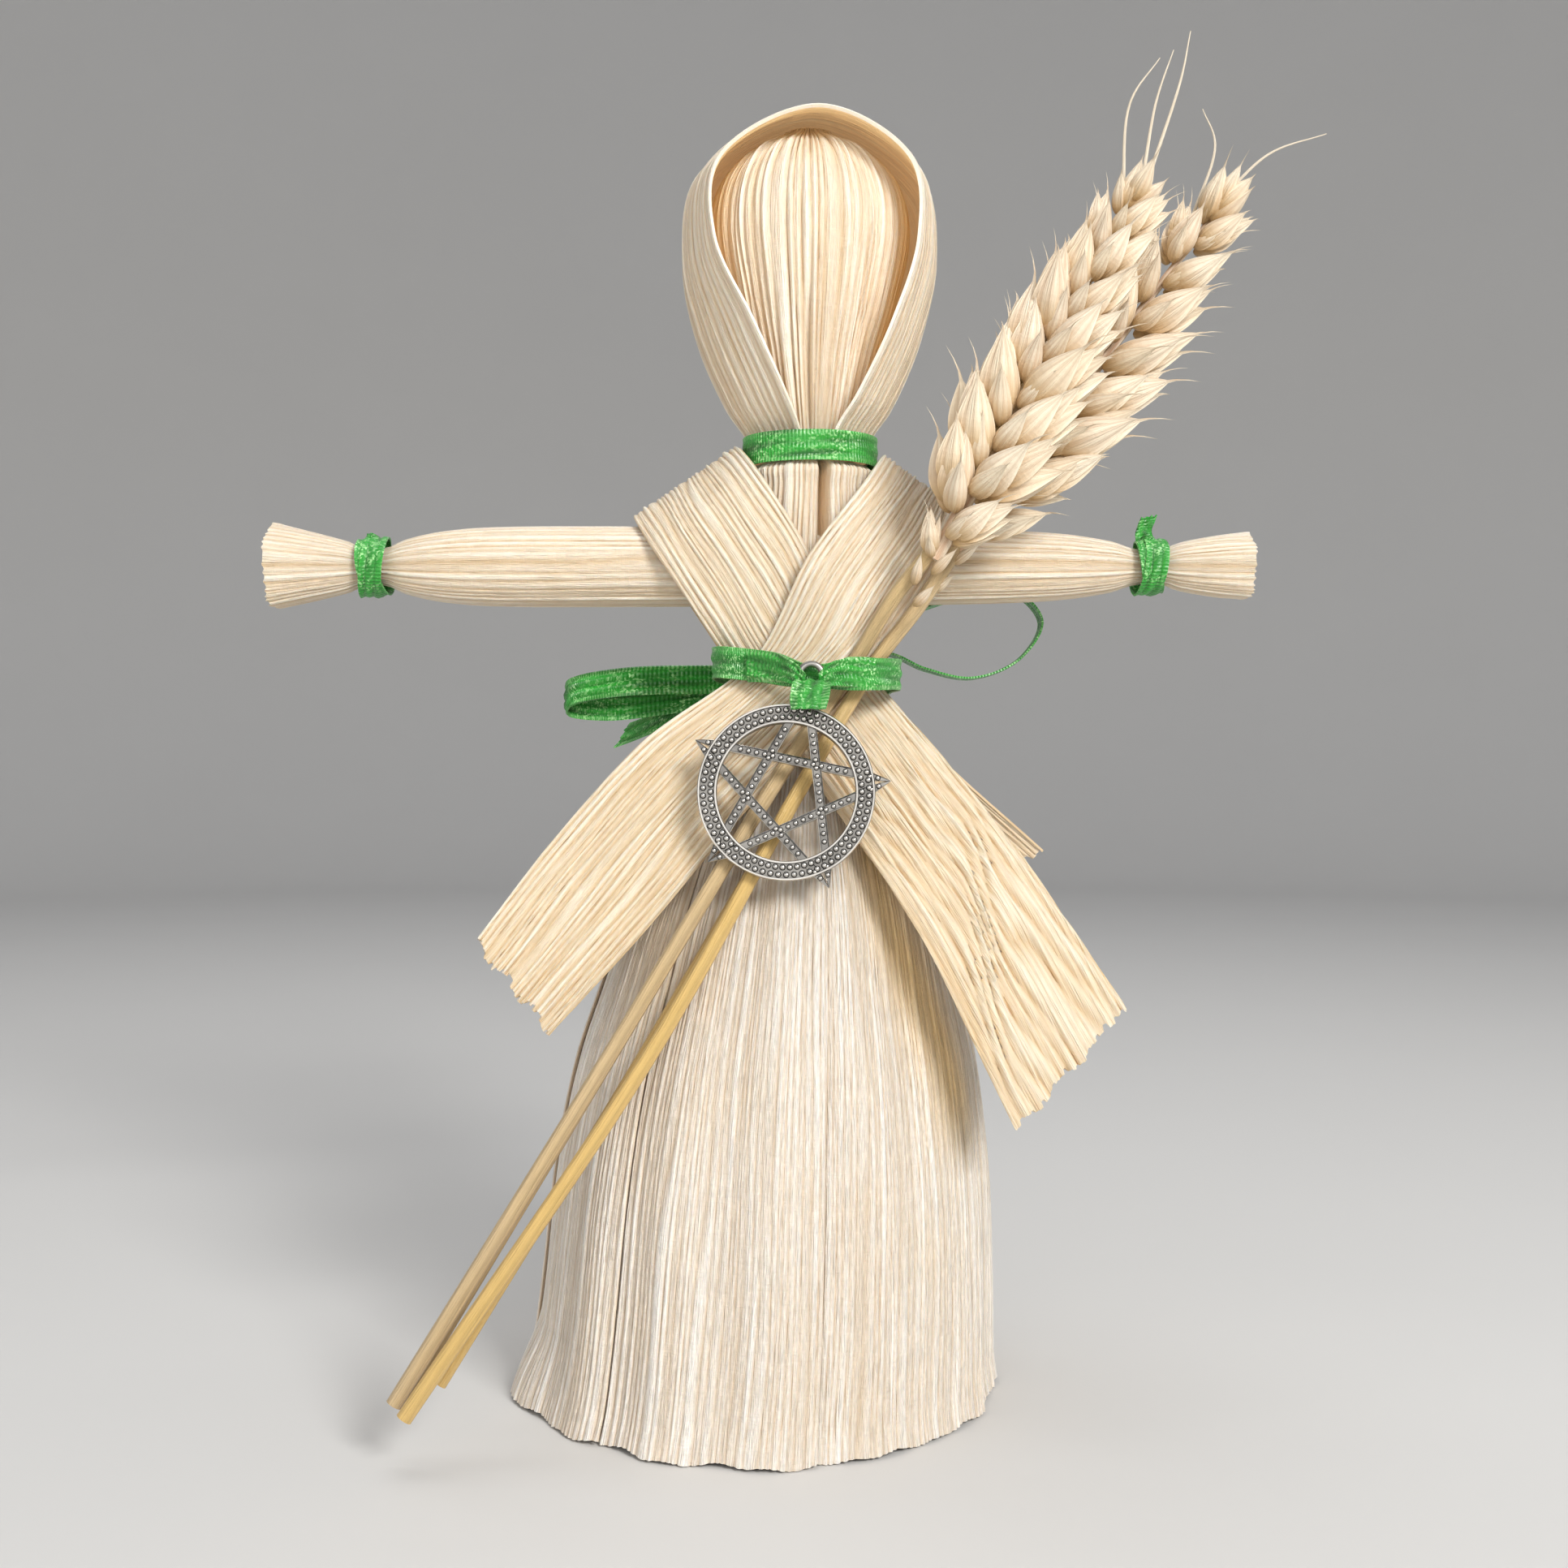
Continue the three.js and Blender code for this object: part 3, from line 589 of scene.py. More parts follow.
def material(name):
    """One of the doll's finishes, made once."""
    made = "doll_" + name
    if made in bpy.data.materials:
        return bpy.data.materials[made]
    c = {key: tuple(getattr(colours(), key)) for key in DollColours.__annotations__}
    grey_husk = tuple(a * b for a, b in zip(c["husk"], (0.98, 1.0, 1.08)))
    # The skirt's valley colour is painted shade.
    grey_valley_shade = tuple(a * b for a, b in zip(c["husk_valley"], (1.04, 1.15, 1.45)))
    pale_amber = tuple(0.3 * a + 0.7 * b for a, b in zip(c["husk"], c["amber"]))
    straw_valley = tuple(0.5 * a for a in c["pale_straw"])
    makers = {
        "husk": lambda: leaf_material(made, c["husk"], c["husk_valley"], c["amber"], bump=0.75, glow=0.16),
        "skirt_husk": lambda: leaf_material(made, grey_husk, grey_valley_shade, c["amber"], bump=0.9, glow=0.1),
        # The hood's inside is a painted amber glow that gives off a little light.
        "husk_inside": lambda: leaf_material(made, pale_amber, c["amber"], pale_amber, light=0.15),
        "ribbon": lambda: ribbon_material(made, c["ribbon"], c["ribbon_glint"]),
        "silver": lambda: silver_material(made, c["silver"], c["tarnish"]),
        # Chaff gives off a little painted glow of golden light.
        "chaff": lambda: leaf_material(
            made, c["chaff"], c["chaff_shade"], c["straw"], rough=0.34, light=0.03),
        "straw": lambda: leaf_material(made, c["pale_straw"], straw_valley, c["straw"], 0.34, 0.6),
    }
    return makers[name]()


# Skirt: seven overlapped husks

skirt_x = smooth([(0, -4.6), (20, -3.2), (64, -1.2), (100, 1.2), (146, 3.6)])
skirt_wide = smooth([
    (0, 47), (6, 45.8), (20, 44.8), (43, 43.2), (64, 40), (79, 36), (95, 31.5), (110, 25.6), (125, 18.8),
    (136, 13.8), (141, 12.6), (147, 12)])
skirt_deep = smooth([
    (0, 48.4), (6, 47.2), (20, 46), (43, 43), (64, 38.5), (79, 34), (95, 28), (110, 21.2), (125, 13.9),
    (136, 10.8), (141, 10.8), (147, 10.2)])


def skirt_husk(index, rib_depth):
    """Where the points of one husk of the skirt lie; its left edge is tucked under the husk before it."""
    overlap = 0.14
    rib_count = 34

    def place(u, v):
        share = u * (1 + overlap) - overlap
        angle = TURN * (index + share) / SKIRT_HUSKS - math.pi
        hem = 0.5 + 0.5 * np.sin(9 * angle + 2 * index) * np.sin(23 * angle)
        z = 147 * v + 0.9 * hem * (1 - ease(v, 0, 0.04))
        low = ease(146 - z, 0, 60)
        gather = (skirt_wide(z) / 47) ** 0.5
        rib = ribs(u, v, rib_count, 11 + index, 0.3)
        drape = 0.35 * np.cos(16 * angle) + 0.5 * low * np.sin(37 * angle / 3 + 2.2 * v + index)
        flap = 3.4 * bell(angle, -2.9, 0.28) * ease(16 - z, 0, 14)
        step = (0.3 + (HUSK_STEP - 0.3) * low) * share - HUSK_STEP - np.where(share < 0, 0.25, 0)
        out = step + drape * low + flap + rib * rib_depth * gather
        x = skirt_x(z) + (skirt_wide(z) + out) * np.cos(angle)
        y = (skirt_deep(z) + out) * np.sin(angle)
        # Painted amber shadow cast by the front tails: a band along the right tail's inner edge and a patch
        # under the left tail.
        tail_edge = -1.0 + 0.42 * ease(z, 112, 52)
        painted_tail_shadow = bell(angle, tail_edge, 0.17) * ease(z, 44, 62) * ease(118 - z, 0, 14)
        painted_left_shadow = bell(angle, -2.3, 0.3) * bell(z, 86, 20)
        warm = 0.8 * painted_tail_shadow + 0.3 * painted_left_shadow
        # The rib height is also the painted relief light: shade in the valleys, highlight on the ridges.
        return np.stack([x, y, z], 1), (z, u * 40 + 50 * index), rib, warm

    return place


# Head, neck and trunk: one pleated bundle

body_x = smooth([(134, 3.6), (150, 4), (186, NECK["x"]), (205, HEAD_X), (250, HEAD_X)])
body_wide = smooth([
    (136.5, 9.4), (147.4, 9.5), (151, 11.6), (156, 14), (163, 15.2), (172, 13.6), (179, 12.8),
    (182.8, 12.9), (184.4, 9), (189, 9), (196, 11.3), (205, 13.9), (217, 17.8), (230, 20.4), (240, 18.6),
    (246.6, 13), (250.6, 5.5)])
body_deep = smooth([
    (136.5, 8), (147.4, 8.1), (151, 9), (156, 9.2), (163, 9.7), (172, 9.8), (179, 9.9),
    (182.8, 10.2), (184.4, 6), (189, 6.3), (196, 9.3), (205, 12), (217, 14.6), (230, 15.6), (240, 14),
    (246.6, 10.5), (250.6, 5)])
pleat_depth = smooth([
    (136, 0.2), (149, 0.5), (172, 0.8), (183, 0.6), (189, 0.6), (200, 1.15), (230, 1.1), (249, 0.8)])


def head_place(u, v):
    """The bundle from its foot to the crown of the head, with its seam behind."""
    foot, crown = 136.8, 251.2
    rise = np.clip((v - 0.01) / 0.96, 0, 1)
    z = foot + (crown - foot) * rise
    layer = np.clip(v / 0.01, 0, 1) * np.clip((1 - v) / 0.03, 0, 1) ** 0.5
    angle = math.pi / 2 + TURN * u
    pleat = ribs(u, v, 64, 3, 0.12, 1.3)
    broad = ribs(u, v, 17, 12, 0.3, 0.7)
    front = ease(-np.sin(angle), 0.3, 0.75)
    deep = np.where(z > 190, 0.3 + 0.7 * front, 1)
    knuckles = 1.3 * bell(z, 246, 3) * front
    slit = bell(angle, 1.5 * math.pi + 0.22, 0.07) * ease(186 - z, 0, 3) * ease(z, 158, 166)
    middle = bell(angle, 1.5 * math.pi - 0.03, 0.06) * ease(z, 186, 196) * ease(228 - z, 0, 24)
    # The pleats' relief value, dimmed in the slit and the middle groove: painted shade there and in the pleat
    # valleys, painted highlight on the pleat ridges.
    fold = (0.78 * pleat + 0.22 * broad) * (1 - slit) * (1 - 0.6 * middle)
    bump = pleat_depth(z) * deep * (1.5 * fold - 0.65) + knuckles * (pleat - 0.3)
    bump = bump - 4.5 * slit - 1.5 * middle
    wide = layer * (body_wide(z) + bump)
    depth = layer * (body_deep(z) + bump)
    y = 1.0 * ease(z, 189, 210) + depth * np.sin(angle)
    # Painted amber glow on the shaded sides of the face inside the hood, and on the crown.
    painted_cheek_glow = ease(np.abs(np.cos(angle)), np.where(np.cos(angle) < 0, 0.66, 0.84), 0.94) * ease(z, 188, 200)
    crown_glow = ease(z, 247, 249.4)
    points = np.stack([body_x(z) + wide * np.cos(angle), y, z], 1)
    tone = fold * (0.6 + 0.4 * deep) * 1.15 * (1 - painted_cheek_glow) + 0.75 * painted_cheek_glow
    return points, (z, u * 85), tone, np.maximum(0.7 * painted_cheek_glow, 0.6 * crown_glow)


# Hood: guides from the neck up the left side, over the top and down the right side

def hood_guide(heights, left, right, depths, top_x):
    up = [(HEAD_X - half, y, z) for half, y, z in zip(left, depths, heights)]
    down = [(HEAD_X + half, y, z) for half, y, z in zip(right, depths, heights)][::-1]
    return Path([*up, (HEAD_X + top_x, depths[-1], heights[-1]), *down])


RIDGE_HALF = [11.9, 12.1, 16.2, 22.2, 25.3, 22.2]
QUARTER_HALF = [7.4, 7.6, 11.5, 17, 19.4, 17]
SEAM_HALF = [0.8] * 6
HOOD_GUIDES = [
    hood_guide([184.6, 189.4, 196, 210, 226, 241, 250.8], [1.5, 1.7, 4.4, 10.9, 18.3, 17.3],
               [4.9, 5.1, 9.2, 16, 20.9, 19.2], [-8.7, -8.9, -12.4, -14.6, -15.2, -15.2, -15], 1.8),
    hood_guide([184.6, 189.4, 196, 210, 226, 242, 254.2], RIDGE_HALF, RIDGE_HALF, [0, 0, 0, 1, 1, 1, 0], 0.6),
    hood_guide([184.6, 189.4, 196, 210, 226, 240, 251], QUARTER_HALF, QUARTER_HALF,
               [7.3, 7.4, 10.8, 15, 18, 16.5, 12], 0),
    hood_guide([184.6, 189.4, 196, 210, 226, 238, 244.5], SEAM_HALF, SEAM_HALF,
               [8.9, 9, 12.8, 18.2, 21.8, 21, 18.4], 0),
]


def hood_surface(u, v):
    guides = np.stack([guide.at(u) for guide in HOOD_GUIDES])
    guides = np.concatenate([2 * guides[:1] - guides[1:2], guides, 2 * guides[-1:] - guides[-2:-1]])
    where = np.clip(v, 0, 1) * 3
    i = np.minimum(where.astype(int), 2)
    row = np.arange(len(u))
    return through(guides[i, row], guides[i + 1, row], guides[i + 2, row], guides[i + 3, row], where - i)


def hood_place(rib_depth):
    small = 0.004

    def place(u, v):
        along = hood_surface(np.minimum(u + small, 1), v) - hood_surface(np.maximum(u - small, 0), v)
        back = hood_surface(u, np.minimum(v + small, 1)) - hood_surface(u, np.maximum(v - small, 0))
        out = unit(np.cross(along, back))
        rib = ribs(v, u, 36, 5, 0.25)
        tucked = np.sin(np.pi * u) ** 0.5
        rim = bell(v, 0, 0.012)
        height = rib * rib_depth * (0.5 + 0.5 * tucked) + 0.25 + 0.3 * rim
        points = hood_surface(u, v) + out * height[:, None]
        # The rib is also painted shade in its valleys, the rim a painted highlight, and the rest of the hood
        # a faint painted amber glow.
        return points, (u * 190, v * 62), np.maximum(rib, rim), 0.1 * (1 - rim)

    return place


# Arms: one roll of husk

arm_radius = smooth([
    (-104, 8.8), (-98, 7.6), (-88, 5.1), (-85.6, 3.9), (-80.4, 3.9), (-77, 5.4), (-70, 7), (-60, 7.9),
    (-40, 8.1), (0, 7.9), (36, 7.6), (55, 6.8), (66, 5.2), (71.2, 3.6), (76.8, 3.6), (80, 4.8), (88, 6.2),
    (94, 6.7)])
ARM_ENDS = (-103.8, 94.6)


def arm_place(u, v):
    """The roll from end to end; both ends are open layers that wind inwards."""
    cap = 0.1
    angle = math.pi / 2 - TURN * u
    inner = np.clip(np.minimum(v, 1 - v) / cap, 0, 1)
    share = np.clip((v - cap) / (1 - 2 * cap), 0, 1)
    x = ARM_ENDS[0] + (ARM_ENDS[1] - ARM_ENDS[0]) * share
    rib = ribs(u, share, 30, 8, 0.2)
    fray = ribs(u, 0 * u, 30, 21, 0)
    near_end = bell(share, 0, 0.01) + bell(share, 1, 0.01)
    flare = 0.5 * np.cos(5 * angle) * np.exp(-np.minimum(share, 1 - share) / 0.03)
    radius = arm_radius(x) + 0.55 * (rib - 0.5) + flare
    winding = np.abs(np.sin(TURN * 3 * inner + angle / 2 + 0.7 * np.sin(2 * angle) * inner))
    sign = np.where(v < 0.5, 1, -1)
    sunk = (2.4 - 2.0 * winding) * ease(1 - inner, 0, 0.12)
    radius = radius * inner
    x = x + sign * (sunk + 0.9 * fray * near_end * inner)
    y = 0.94 * radius * np.sin(angle)
    # In the wound-in ends, painted shade between the layers and a painted amber glow; elsewhere the rib gives
    # painted shade in its valleys.
    fold = np.where(inner < 0.98, 0.15 + 0.6 * winding, rib)
    warm = np.where(inner < 0.98, 0.5, 0.02)
    return np.stack([x, y, ARM_Z + radius * np.cos(angle)], 1), (x, u * 46), fold, warm


# Shawl: two long husks crossed over the shoulders

SHAWL_LEFT = [
    ((52, -36, 68), (-10.3, -2, -11), 0),
    ((35, -29.5, 98.5), (-10.3, -3, -6.3), 0.5),
    ((21, -20.6, 118.5), (-9.8, -2.6, -6), 1),
    ((4, -8.4, 141.5), (-11.3, 0, -3.2), 4.6),
    ((-7, -11.4, 160.5), (-10.6, 1, -7), 1.2),
    ((-15.5, -10.4, 173.5), (-10.8, 0.8, -7.2), 0.6),
    ((-20, 0, 180.8), (-10.6, 0, -7.2), 0),
    ((-15.5, 10.4, 173.5), (-10.8, -0.8, -7.2), 0.6),
    ((-7, 11.4, 160.5), (-10.6, -1, -7), 1.2),
    ((4, 8.4, 141.5), (-11.3, 0, -3.2), 4.6),
    ((22.4, 20.6, 121), (-9.5, 2.6, -6), 1),
    ((48, 27, 99), (-8.2, 2, -6.5), 0.5),
]
SHAWL_RIGHT = [
    ((-50.1, -30, 82), (-7.3, 1, 8.3), 0),
    ((-33.8, -25.5, 101.8), (-9.2, 3, 8.2), 0.5),
    ((-18, -23, 120), (-9.3, 2, 7.4), 1),
    ((5, -14.9, 142), (-10.4, 1.5, 2.6), 3),
    ((15, -15.7, 158), (-9.6, -1, 6.8), 1.2),
    ((24.5, -11.4, 171.5), (-9.2, -0.6, 6.8), 0.6),
    ((29, 0, 179.7), (-8.9, 0, 6.5), 0),
    ((24.5, 11.4, 171.5), (-9.2, 0.6, 6.8), 0.6),
    ((15, 15.7, 158), (-9.6, 1, 6.8), 1.2),
    ((5, 14.9, 142), (-10.4, -1.5, 2.6), 3),
    ((-18, 23, 120), (-9.3, -2, 7.4), 1),
    ((-38, 27, 99), (-7.6, -2, 6.6), 0.5),
]


def shawl_relief(rib_depth, crumple, seed):
    """Ribs along the husk, with deeper wavy folds towards the front tail where it is crumpled."""
    def relief(u, q):
        across = (q + 1) / 2
        fine = ribs(across, 3 * u, 21, seed, 0.25, 0.9)
        coarse = ribs(across + 0.025 * np.sin(TURN * 9 * u + 4 * across), 5 * u, 10, seed + 1, 0.6)
        tail = 1 - ease(u, 0.12, 0.3)
        share = crumple * tail
        # The relief also sets the painted shade in the valleys and the painted highlight on the ridges.
        fold = (1 - share) * fine + share * (0.7 * coarse + 0.3 * fine)
        height = fine * rib_depth * 1.25 * (1 - 0.4 * share) + coarse * 2.1 * share - 0.45
        edge = bell(np.abs(q), 1, 0.05)
        return height - 0.2 * edge, fold
    return relief


def shawl_painted_glow(relief):
    """Painted amber glow in the valleys of the front tail, standing for light that comes through the folded
    husk.
    """
    def warm(u, q):
        return 0.28 * (1 - relief(u, q)[1]) * (1 - ease(u, 0.16, 0.34)) + 0.03
    return warm


def shawl_cut(depth, seed):
    """A cut end that is jagged from fibre to fibre."""
    def cut(u, q):
        draw = np.random.RandomState(seed)
        teeth = draw.uniform(-1, 1, 40)
        k = np.clip(((q + 1) * 18).astype(int), 0, 39)
        jag = teeth[k] * 0.6 + 0.5 * np.sin(9 * q)
        return depth * jag * ((u < 0.004).astype(float) - (u > 0.996).astype(float))
    return cut


# Ribbons

def satin(depth, folds, seed):
    """Soft lengthwise creases of a ribbon, with a raised woven edge, and a painted shade in their troughs."""
    def relief(u, q):
        phase = np.random.RandomState(seed).uniform(0, TURN, 3)
        crease = np.sin(folds * np.pi * q + phase[0] + 6 * u) + 0.6 * np.sin(17 * u + 3 * q + phase[1])
        edge = bell(np.abs(q), 0.93, 0.05)
        return depth * crease * 0.5 + 0.07 * edge, 0.55 + 0.3 * crease
    return relief


def band_place(loop, width, depth, thick, seed, pinch=None):
    """Where the points of a closed band of ribbon lie, standing on edge along a loop of points."""
    path = Path(loop, closed=True)
    long = path.length()

    def place(u, v):
        q = 2 * v - 1
        heading = path.heading(np.clip(u, 0.001, 0.999))
        out = unit(np.stack([heading[:, 1], -heading[:, 0], 0 * u], 1))
        height, fold = satin(depth, 2.5, seed)(np.sin(TURN * u) * 0.3, q)
        half = width / 2 * (pinch(u) if pinch else 1 + 0 * u)
        up = np.stack([0 * u, 0 * u, q * half], 1)
        lift = height + thick / MM / 2
        return path.at(u) + up + out * lift[:, None], (u * long, q * width / 2), fold, 0

    return place


def knot(name, size, middle, turn=0):
    """A small lump of folded ribbon: a rounded block with a crease wound over it."""
    deselect()
    bpy.ops.mesh.primitive_uv_sphere_add(segments=24, ring_count=14, radius=1)
    piece = bpy.context.object
    piece.name = piece.data.name = name
    points = read_points(piece.data)
    squared = np.sign(points) * np.abs(points) ** 0.62
    crease = 1 + 0.09 * np.sin(9 * points[:, 2] + 4 * points[:, 0])
    shaped = squared * np.array(size) / 2 * crease[:, None]
    spin = np.array(Matrix.Rotation(turn, 3, "Y"))
    write_points(piece.data, (shaped @ spin.T + np.array(middle)) * MM)
    # Painted shade and highlight along the crease wound over the knot.
    paint(piece.data, "fold", 0.5 + 0.4 * np.sin(9 * points[:, 2] + 4 * points[:, 0]))
    paint(piece.data, "warm", 0)
    corners = np.empty(len(piece.data.loops), np.int32)
    piece.data.loops.foreach_get("vertex_index", corners)
    piece.data.uv_layers[0].name = "grain"
    grain = np.stack([shaped[:, 0] + shaped[:, 1], shaped[:, 2]], 1) / 10
    piece.data.uv_layers["grain"].data.foreach_set("uv", grain[corners].ravel())
    return piece


def oval(x, y, z, half_width, half_depth, count=20):
    angles = [TURN * i / count + math.pi / 2 for i in range(count)]
    return [(x + half_width * math.cos(a), y + half_depth * math.sin(a), z) for a in angles]


# Wheat

def floret(name, beak):
    """One pointed husk of grain, 1 long, with a keel in front, fine veins and a beak at its tip."""
    body = 0.84

    def place(u, v):
        angle = TURN * u
        share = np.clip(v / body, 0, 1)
        swell = np.sin(np.pi * share ** 0.72) ** 0.85 * (1 - 0.25 * share)
        tip = np.where(v < body, 0, (1 - v) / (1 - body))
        radius = np.where(v < body, np.maximum(swell, 0.06 * (v > 0.03)), 0.06 * tip)
        front = np.cos(angle)
        side = np.sin(angle)
        turn = np.abs(np.angle(np.exp(1j * angle)))
        keel = 0.42 * bell(turn, 0, 0.26)
        vein = 0.05 * np.cos(10 * angle)
        wide = 0.2 * radius * (1 + vein) * side
        deep = 0.17 * radius * (1 + vein + keel) * front
        height = np.where(v < body, share, 1 + beak * (v - body) / (1 - body))
        hook = np.where(v < body, 0.05 * share ** 2, 0.05 + 0.35 * beak * ((v - body) / (1 - body)) ** 1.6)
        # Painted highlight along the keel, with stripes for the veins; the foot is darker and golden in the
        # chaff's own colour.
        ridge = np.maximum(bell(turn, 0, 0.2), 0.55 + 0.45 * np.cos(10 * angle))
        fold = 0.1 + 0.9 * ease(height, -0.1, 0.75) * (0.4 + 0.6 * ridge)
        warm = 0.45 * (1 - ease(height, 0.05, 0.6))
        points = np.stack([wide, -deep - hook, height], 1)
        return points, (v * 12, u * 9), fold, warm

    piece = close(sheet(name, 20, 16, place))
    write_points(piece.data, read_points(piece.data) / MM)
    return piece


# One spikelet's husks of grain: turn to the side in degrees, share of the full length, and millimetres up
SPIKELET = [(-40, 0.74, 0), (40, 0.74, 0), (-20, 1.0, 1.2), (20, 1.0, 1.2), (2, 0.92, 3.8), (-3, 0.8, 5.6)]


def floret_matrix(spot, way, facing, girth, length):
    """Puts a floret at a spot in millimetres, pointing one way with its keel towards facing."""
    face = (facing - way * facing.dot(way)).normalized()
    right = way.cross(face).normalized()
    turned = Matrix((right * girth, -face * girth, way * length)).transposed()
    return Matrix.Translation(spot * MM) @ (turned * MM).to_4x4()


def ear_places(foot, tip, pairs, seed, facing):
    """Where each floret of an ear sits: two lists of matrices, for short and for long beaks."""
    draw = np.random.RandomState(seed)
    foot, tip = Vector(foot), Vector(tip)
    axis = (tip - foot).normalized()
    length = (tip - foot).length
    across = axis.cross(Vector((0, 1, 0))).normalized() * -1
    ahead = across.cross(axis).normalized()
    if ahead.y > 0:
        ahead.negate()
    short, long = [], []
    for i in range(2 * pairs + 1):
        share = i / (2 * pairs)
        side = 1 if i % 2 else -1
        last = i == 2 * pairs
        sideways, forwards = (0.94, 0.34) if side < 0 else (0.8, facing)
        lean_out = Vector(across) * side * sideways + ahead * forwards
        lean_out = ahead * 0.2 if last else lean_out.normalized()
        scale = 0.7 + 0.42 * math.sin(math.pi * min(1, share * 0.95 + 0.16))
        scale = scale * (0.55 if i == 0 else 0.8 if i == 1 else 1)
        base = foot + axis * (share * (length - 15)) + lean_out * 1.3 * scale
        fan_axis = lean_out if lean_out.length > 0.5 else ahead
        spread = axis.cross(fan_axis).normalized()
        for turn, size, raised in SPIKELET:
            turn = math.radians(turn * 0.85 + draw.uniform(-8, 8))
            open_out = (34 if size < 0.8 else 27) + (12 if side > 0 else 0)
            out = math.radians(open_out * (1 - 0.4 * share) + draw.uniform(-7, 7))
            way = axis * math.cos(turn) + spread * math.sin(turn)
            way = (way * math.cos(out) + fan_axis * math.sin(out)).normalized()
            long_mm = 14.2 * scale * size * draw.uniform(0.88, 1.08)
            girth = 1.28 if size > 0.9 else 1.05
            shift = spread * math.sin(turn) * 2.2 + axis * raised + fan_axis * 0.6 * raised
            place = floret_matrix(base + shift * scale, way, fan_axis, long_mm * girth, long_mm)
            beaked = draw.uniform() < 0.45
            (long if beaked else short).append(place)
    for i in range(4):
        way = (axis + across * (0.3 if i % 2 else -0.3) + ahead * 0.25).normalized()
        spot = foot - axis * (3.4 * i - 0.6) + across * (0.9 if i % 2 else -0.9) + ahead * 0.7
        short.append(floret_matrix(spot, way, ahead, 5.6, 7.2 - 0.6 * i))
    return short, long


# Operators

class Step:
    """What the doll's operators share: each builds its pieces from the sizes in the panel."""

    def execute(self, context):
        self.build(sizes())
        return {"FINISHED"}


class HUSKDOLL_OT_stage(Step, bpy.types.Operator):
    """Add the pale floor, the soft studio lights and the camera"""
    bl_idname = "huskdoll.stage"
    bl_label = "Stage"

    def build(self, size):
        flat, bend, wall = 1600, 700, 1500

        def bowl(u, v):
            angle = TURN * u
            turn = math.pi / 2 * np.clip((v - 0.5) / 0.35, 0, 1)
            radius = np.where(v < 0.5, flat * v / 0.5, flat + bend * np.sin(turn))
            rise = bend * (1 - np.cos(turn)) + wall * np.clip((v - 0.85) / 0.15, 0, 1)
            return np.stack([radius * np.cos(angle), radius * np.sin(angle), rise - 0.2], 1), (u, v), 0.5, 0

        floor = sheet("studio_floor", 96, 60, bowl)
        only(floor)
        bpy.ops.object.shade_smooth()
        paper, tree, shader, grain, place = surface("studio_paper")
        tone = noise(tree, place, scale=6, detail=2.0)
        pale = tuple(colours().floor)
        shade = blend(tree, tone, (*[0.97 * c for c in pale], 1), (*pale, 1))
        tree.links.new(shade, shader.inputs["Base Color"])
        shader.inputs["Roughness"].default_value = 0.9
        floor.data.materials.append(paper)
        lights = [
            ("key_light", (0.6, -0.95, 0.75), 0.4, 14.5),
            ("front_light", (-0.15, -1.25, 0.42), 0.8, 3.8),
            ("fill_light", (-0.95, -0.7, 0.4), 0.9, 2.5),
            ("top_light", (-0.1, 0.25, 1.3), 0.7, 4),
        ]
        for name, spot, reach, power in lights:
            deselect()
            bpy.ops.object.light_add(type="AREA", location=spot)
            light = bpy.context.object
            light.name = name
            light.data.size = reach
            light.data.energy = power
            aim = Vector((0, 0, 0.13)) - Vector(spot)
            light.rotation_euler = aim.to_track_quat("-Z", "Y").to_euler()
        world = bpy.data.worlds.new("studio_air")
        world.use_nodes = True
        world.node_tree.nodes["Background"].inputs["Color"].default_value = (0.86, 0.9, 1.0, 1)
        world.node_tree.nodes["Background"].inputs["Strength"].default_value = 0.42
        bpy.context.scene.world = world
        deselect()
        bpy.ops.object.camera_add(location=(0, -0.336, 0.1195), rotation=(math.pi / 2, 0, 0))
        camera = bpy.context.object
        camera.name = "photo_camera"
        camera.data.lens = 38.0
        camera.data.sensor_width = 36
        camera.data.clip_start = 0.01
        bpy.context.scene.camera = camera
        bpy.context.scene.view_settings.view_transform = "Standard"


class HUSKDOLL_OT_skirt(Step, bpy.types.Operator):
    """Add the seven overlapped husks of the skirt"""
    bl_idname = "huskdoll.skirt"
    bl_label = "Skirt"

    def build(self, size):
        for i in range(SKIRT_HUSKS):
            place = skirt_husk(i, size.rib_depth / MM)
            piece = thicken(sheet(f"skirt_husk_{i + 1}", 176, 60, place), size.husk_thickness)
            dress(piece, [material("skirt_husk")], ["skirt"] if i == 0 else [])


class HUSKDOLL_OT_head(Step, bpy.types.Operator):
    """Add the pleated bundle that makes the head, neck and trunk"""
    bl_idname = "huskdoll.head"
    bl_label = "Head and body"

    def build(self, size):
        piece = close(sheet("head_and_body_bundle", 300, 110, head_place))
        dress(piece, [material("husk")], ["head_and_body"])


class HUSKDOLL_OT_hood(Step, bpy.types.Operator):
    """Add the husk laid over the head as a hood, with a painted amber glow inside"""
    bl_idname = "huskdoll.hood"
    bl_label = "Hood"

    def build(self, size):
        piece = sheet("hood_husk", 162, 152, hood_place(size.rib_depth / MM))
        for name in ("husk", "husk_inside"):
            piece.data.materials.append(material(name))
        piece = thicken(piece, size.husk_thickness * 1.3, inside=1)
        dress(piece, [material("husk"), material("husk_inside")], ["hood"])


class HUSKDOLL_OT_arms(Step, bpy.types.Operator):
    """Add the rolled husk that makes both arms"""
    bl_idname = "huskdoll.arms"
    bl_label = "Arms"

    def build(self, size):
        piece = close(sheet("arm_roll", 160, 172, arm_place))
        dress(piece, [material("husk")], ["arms"])


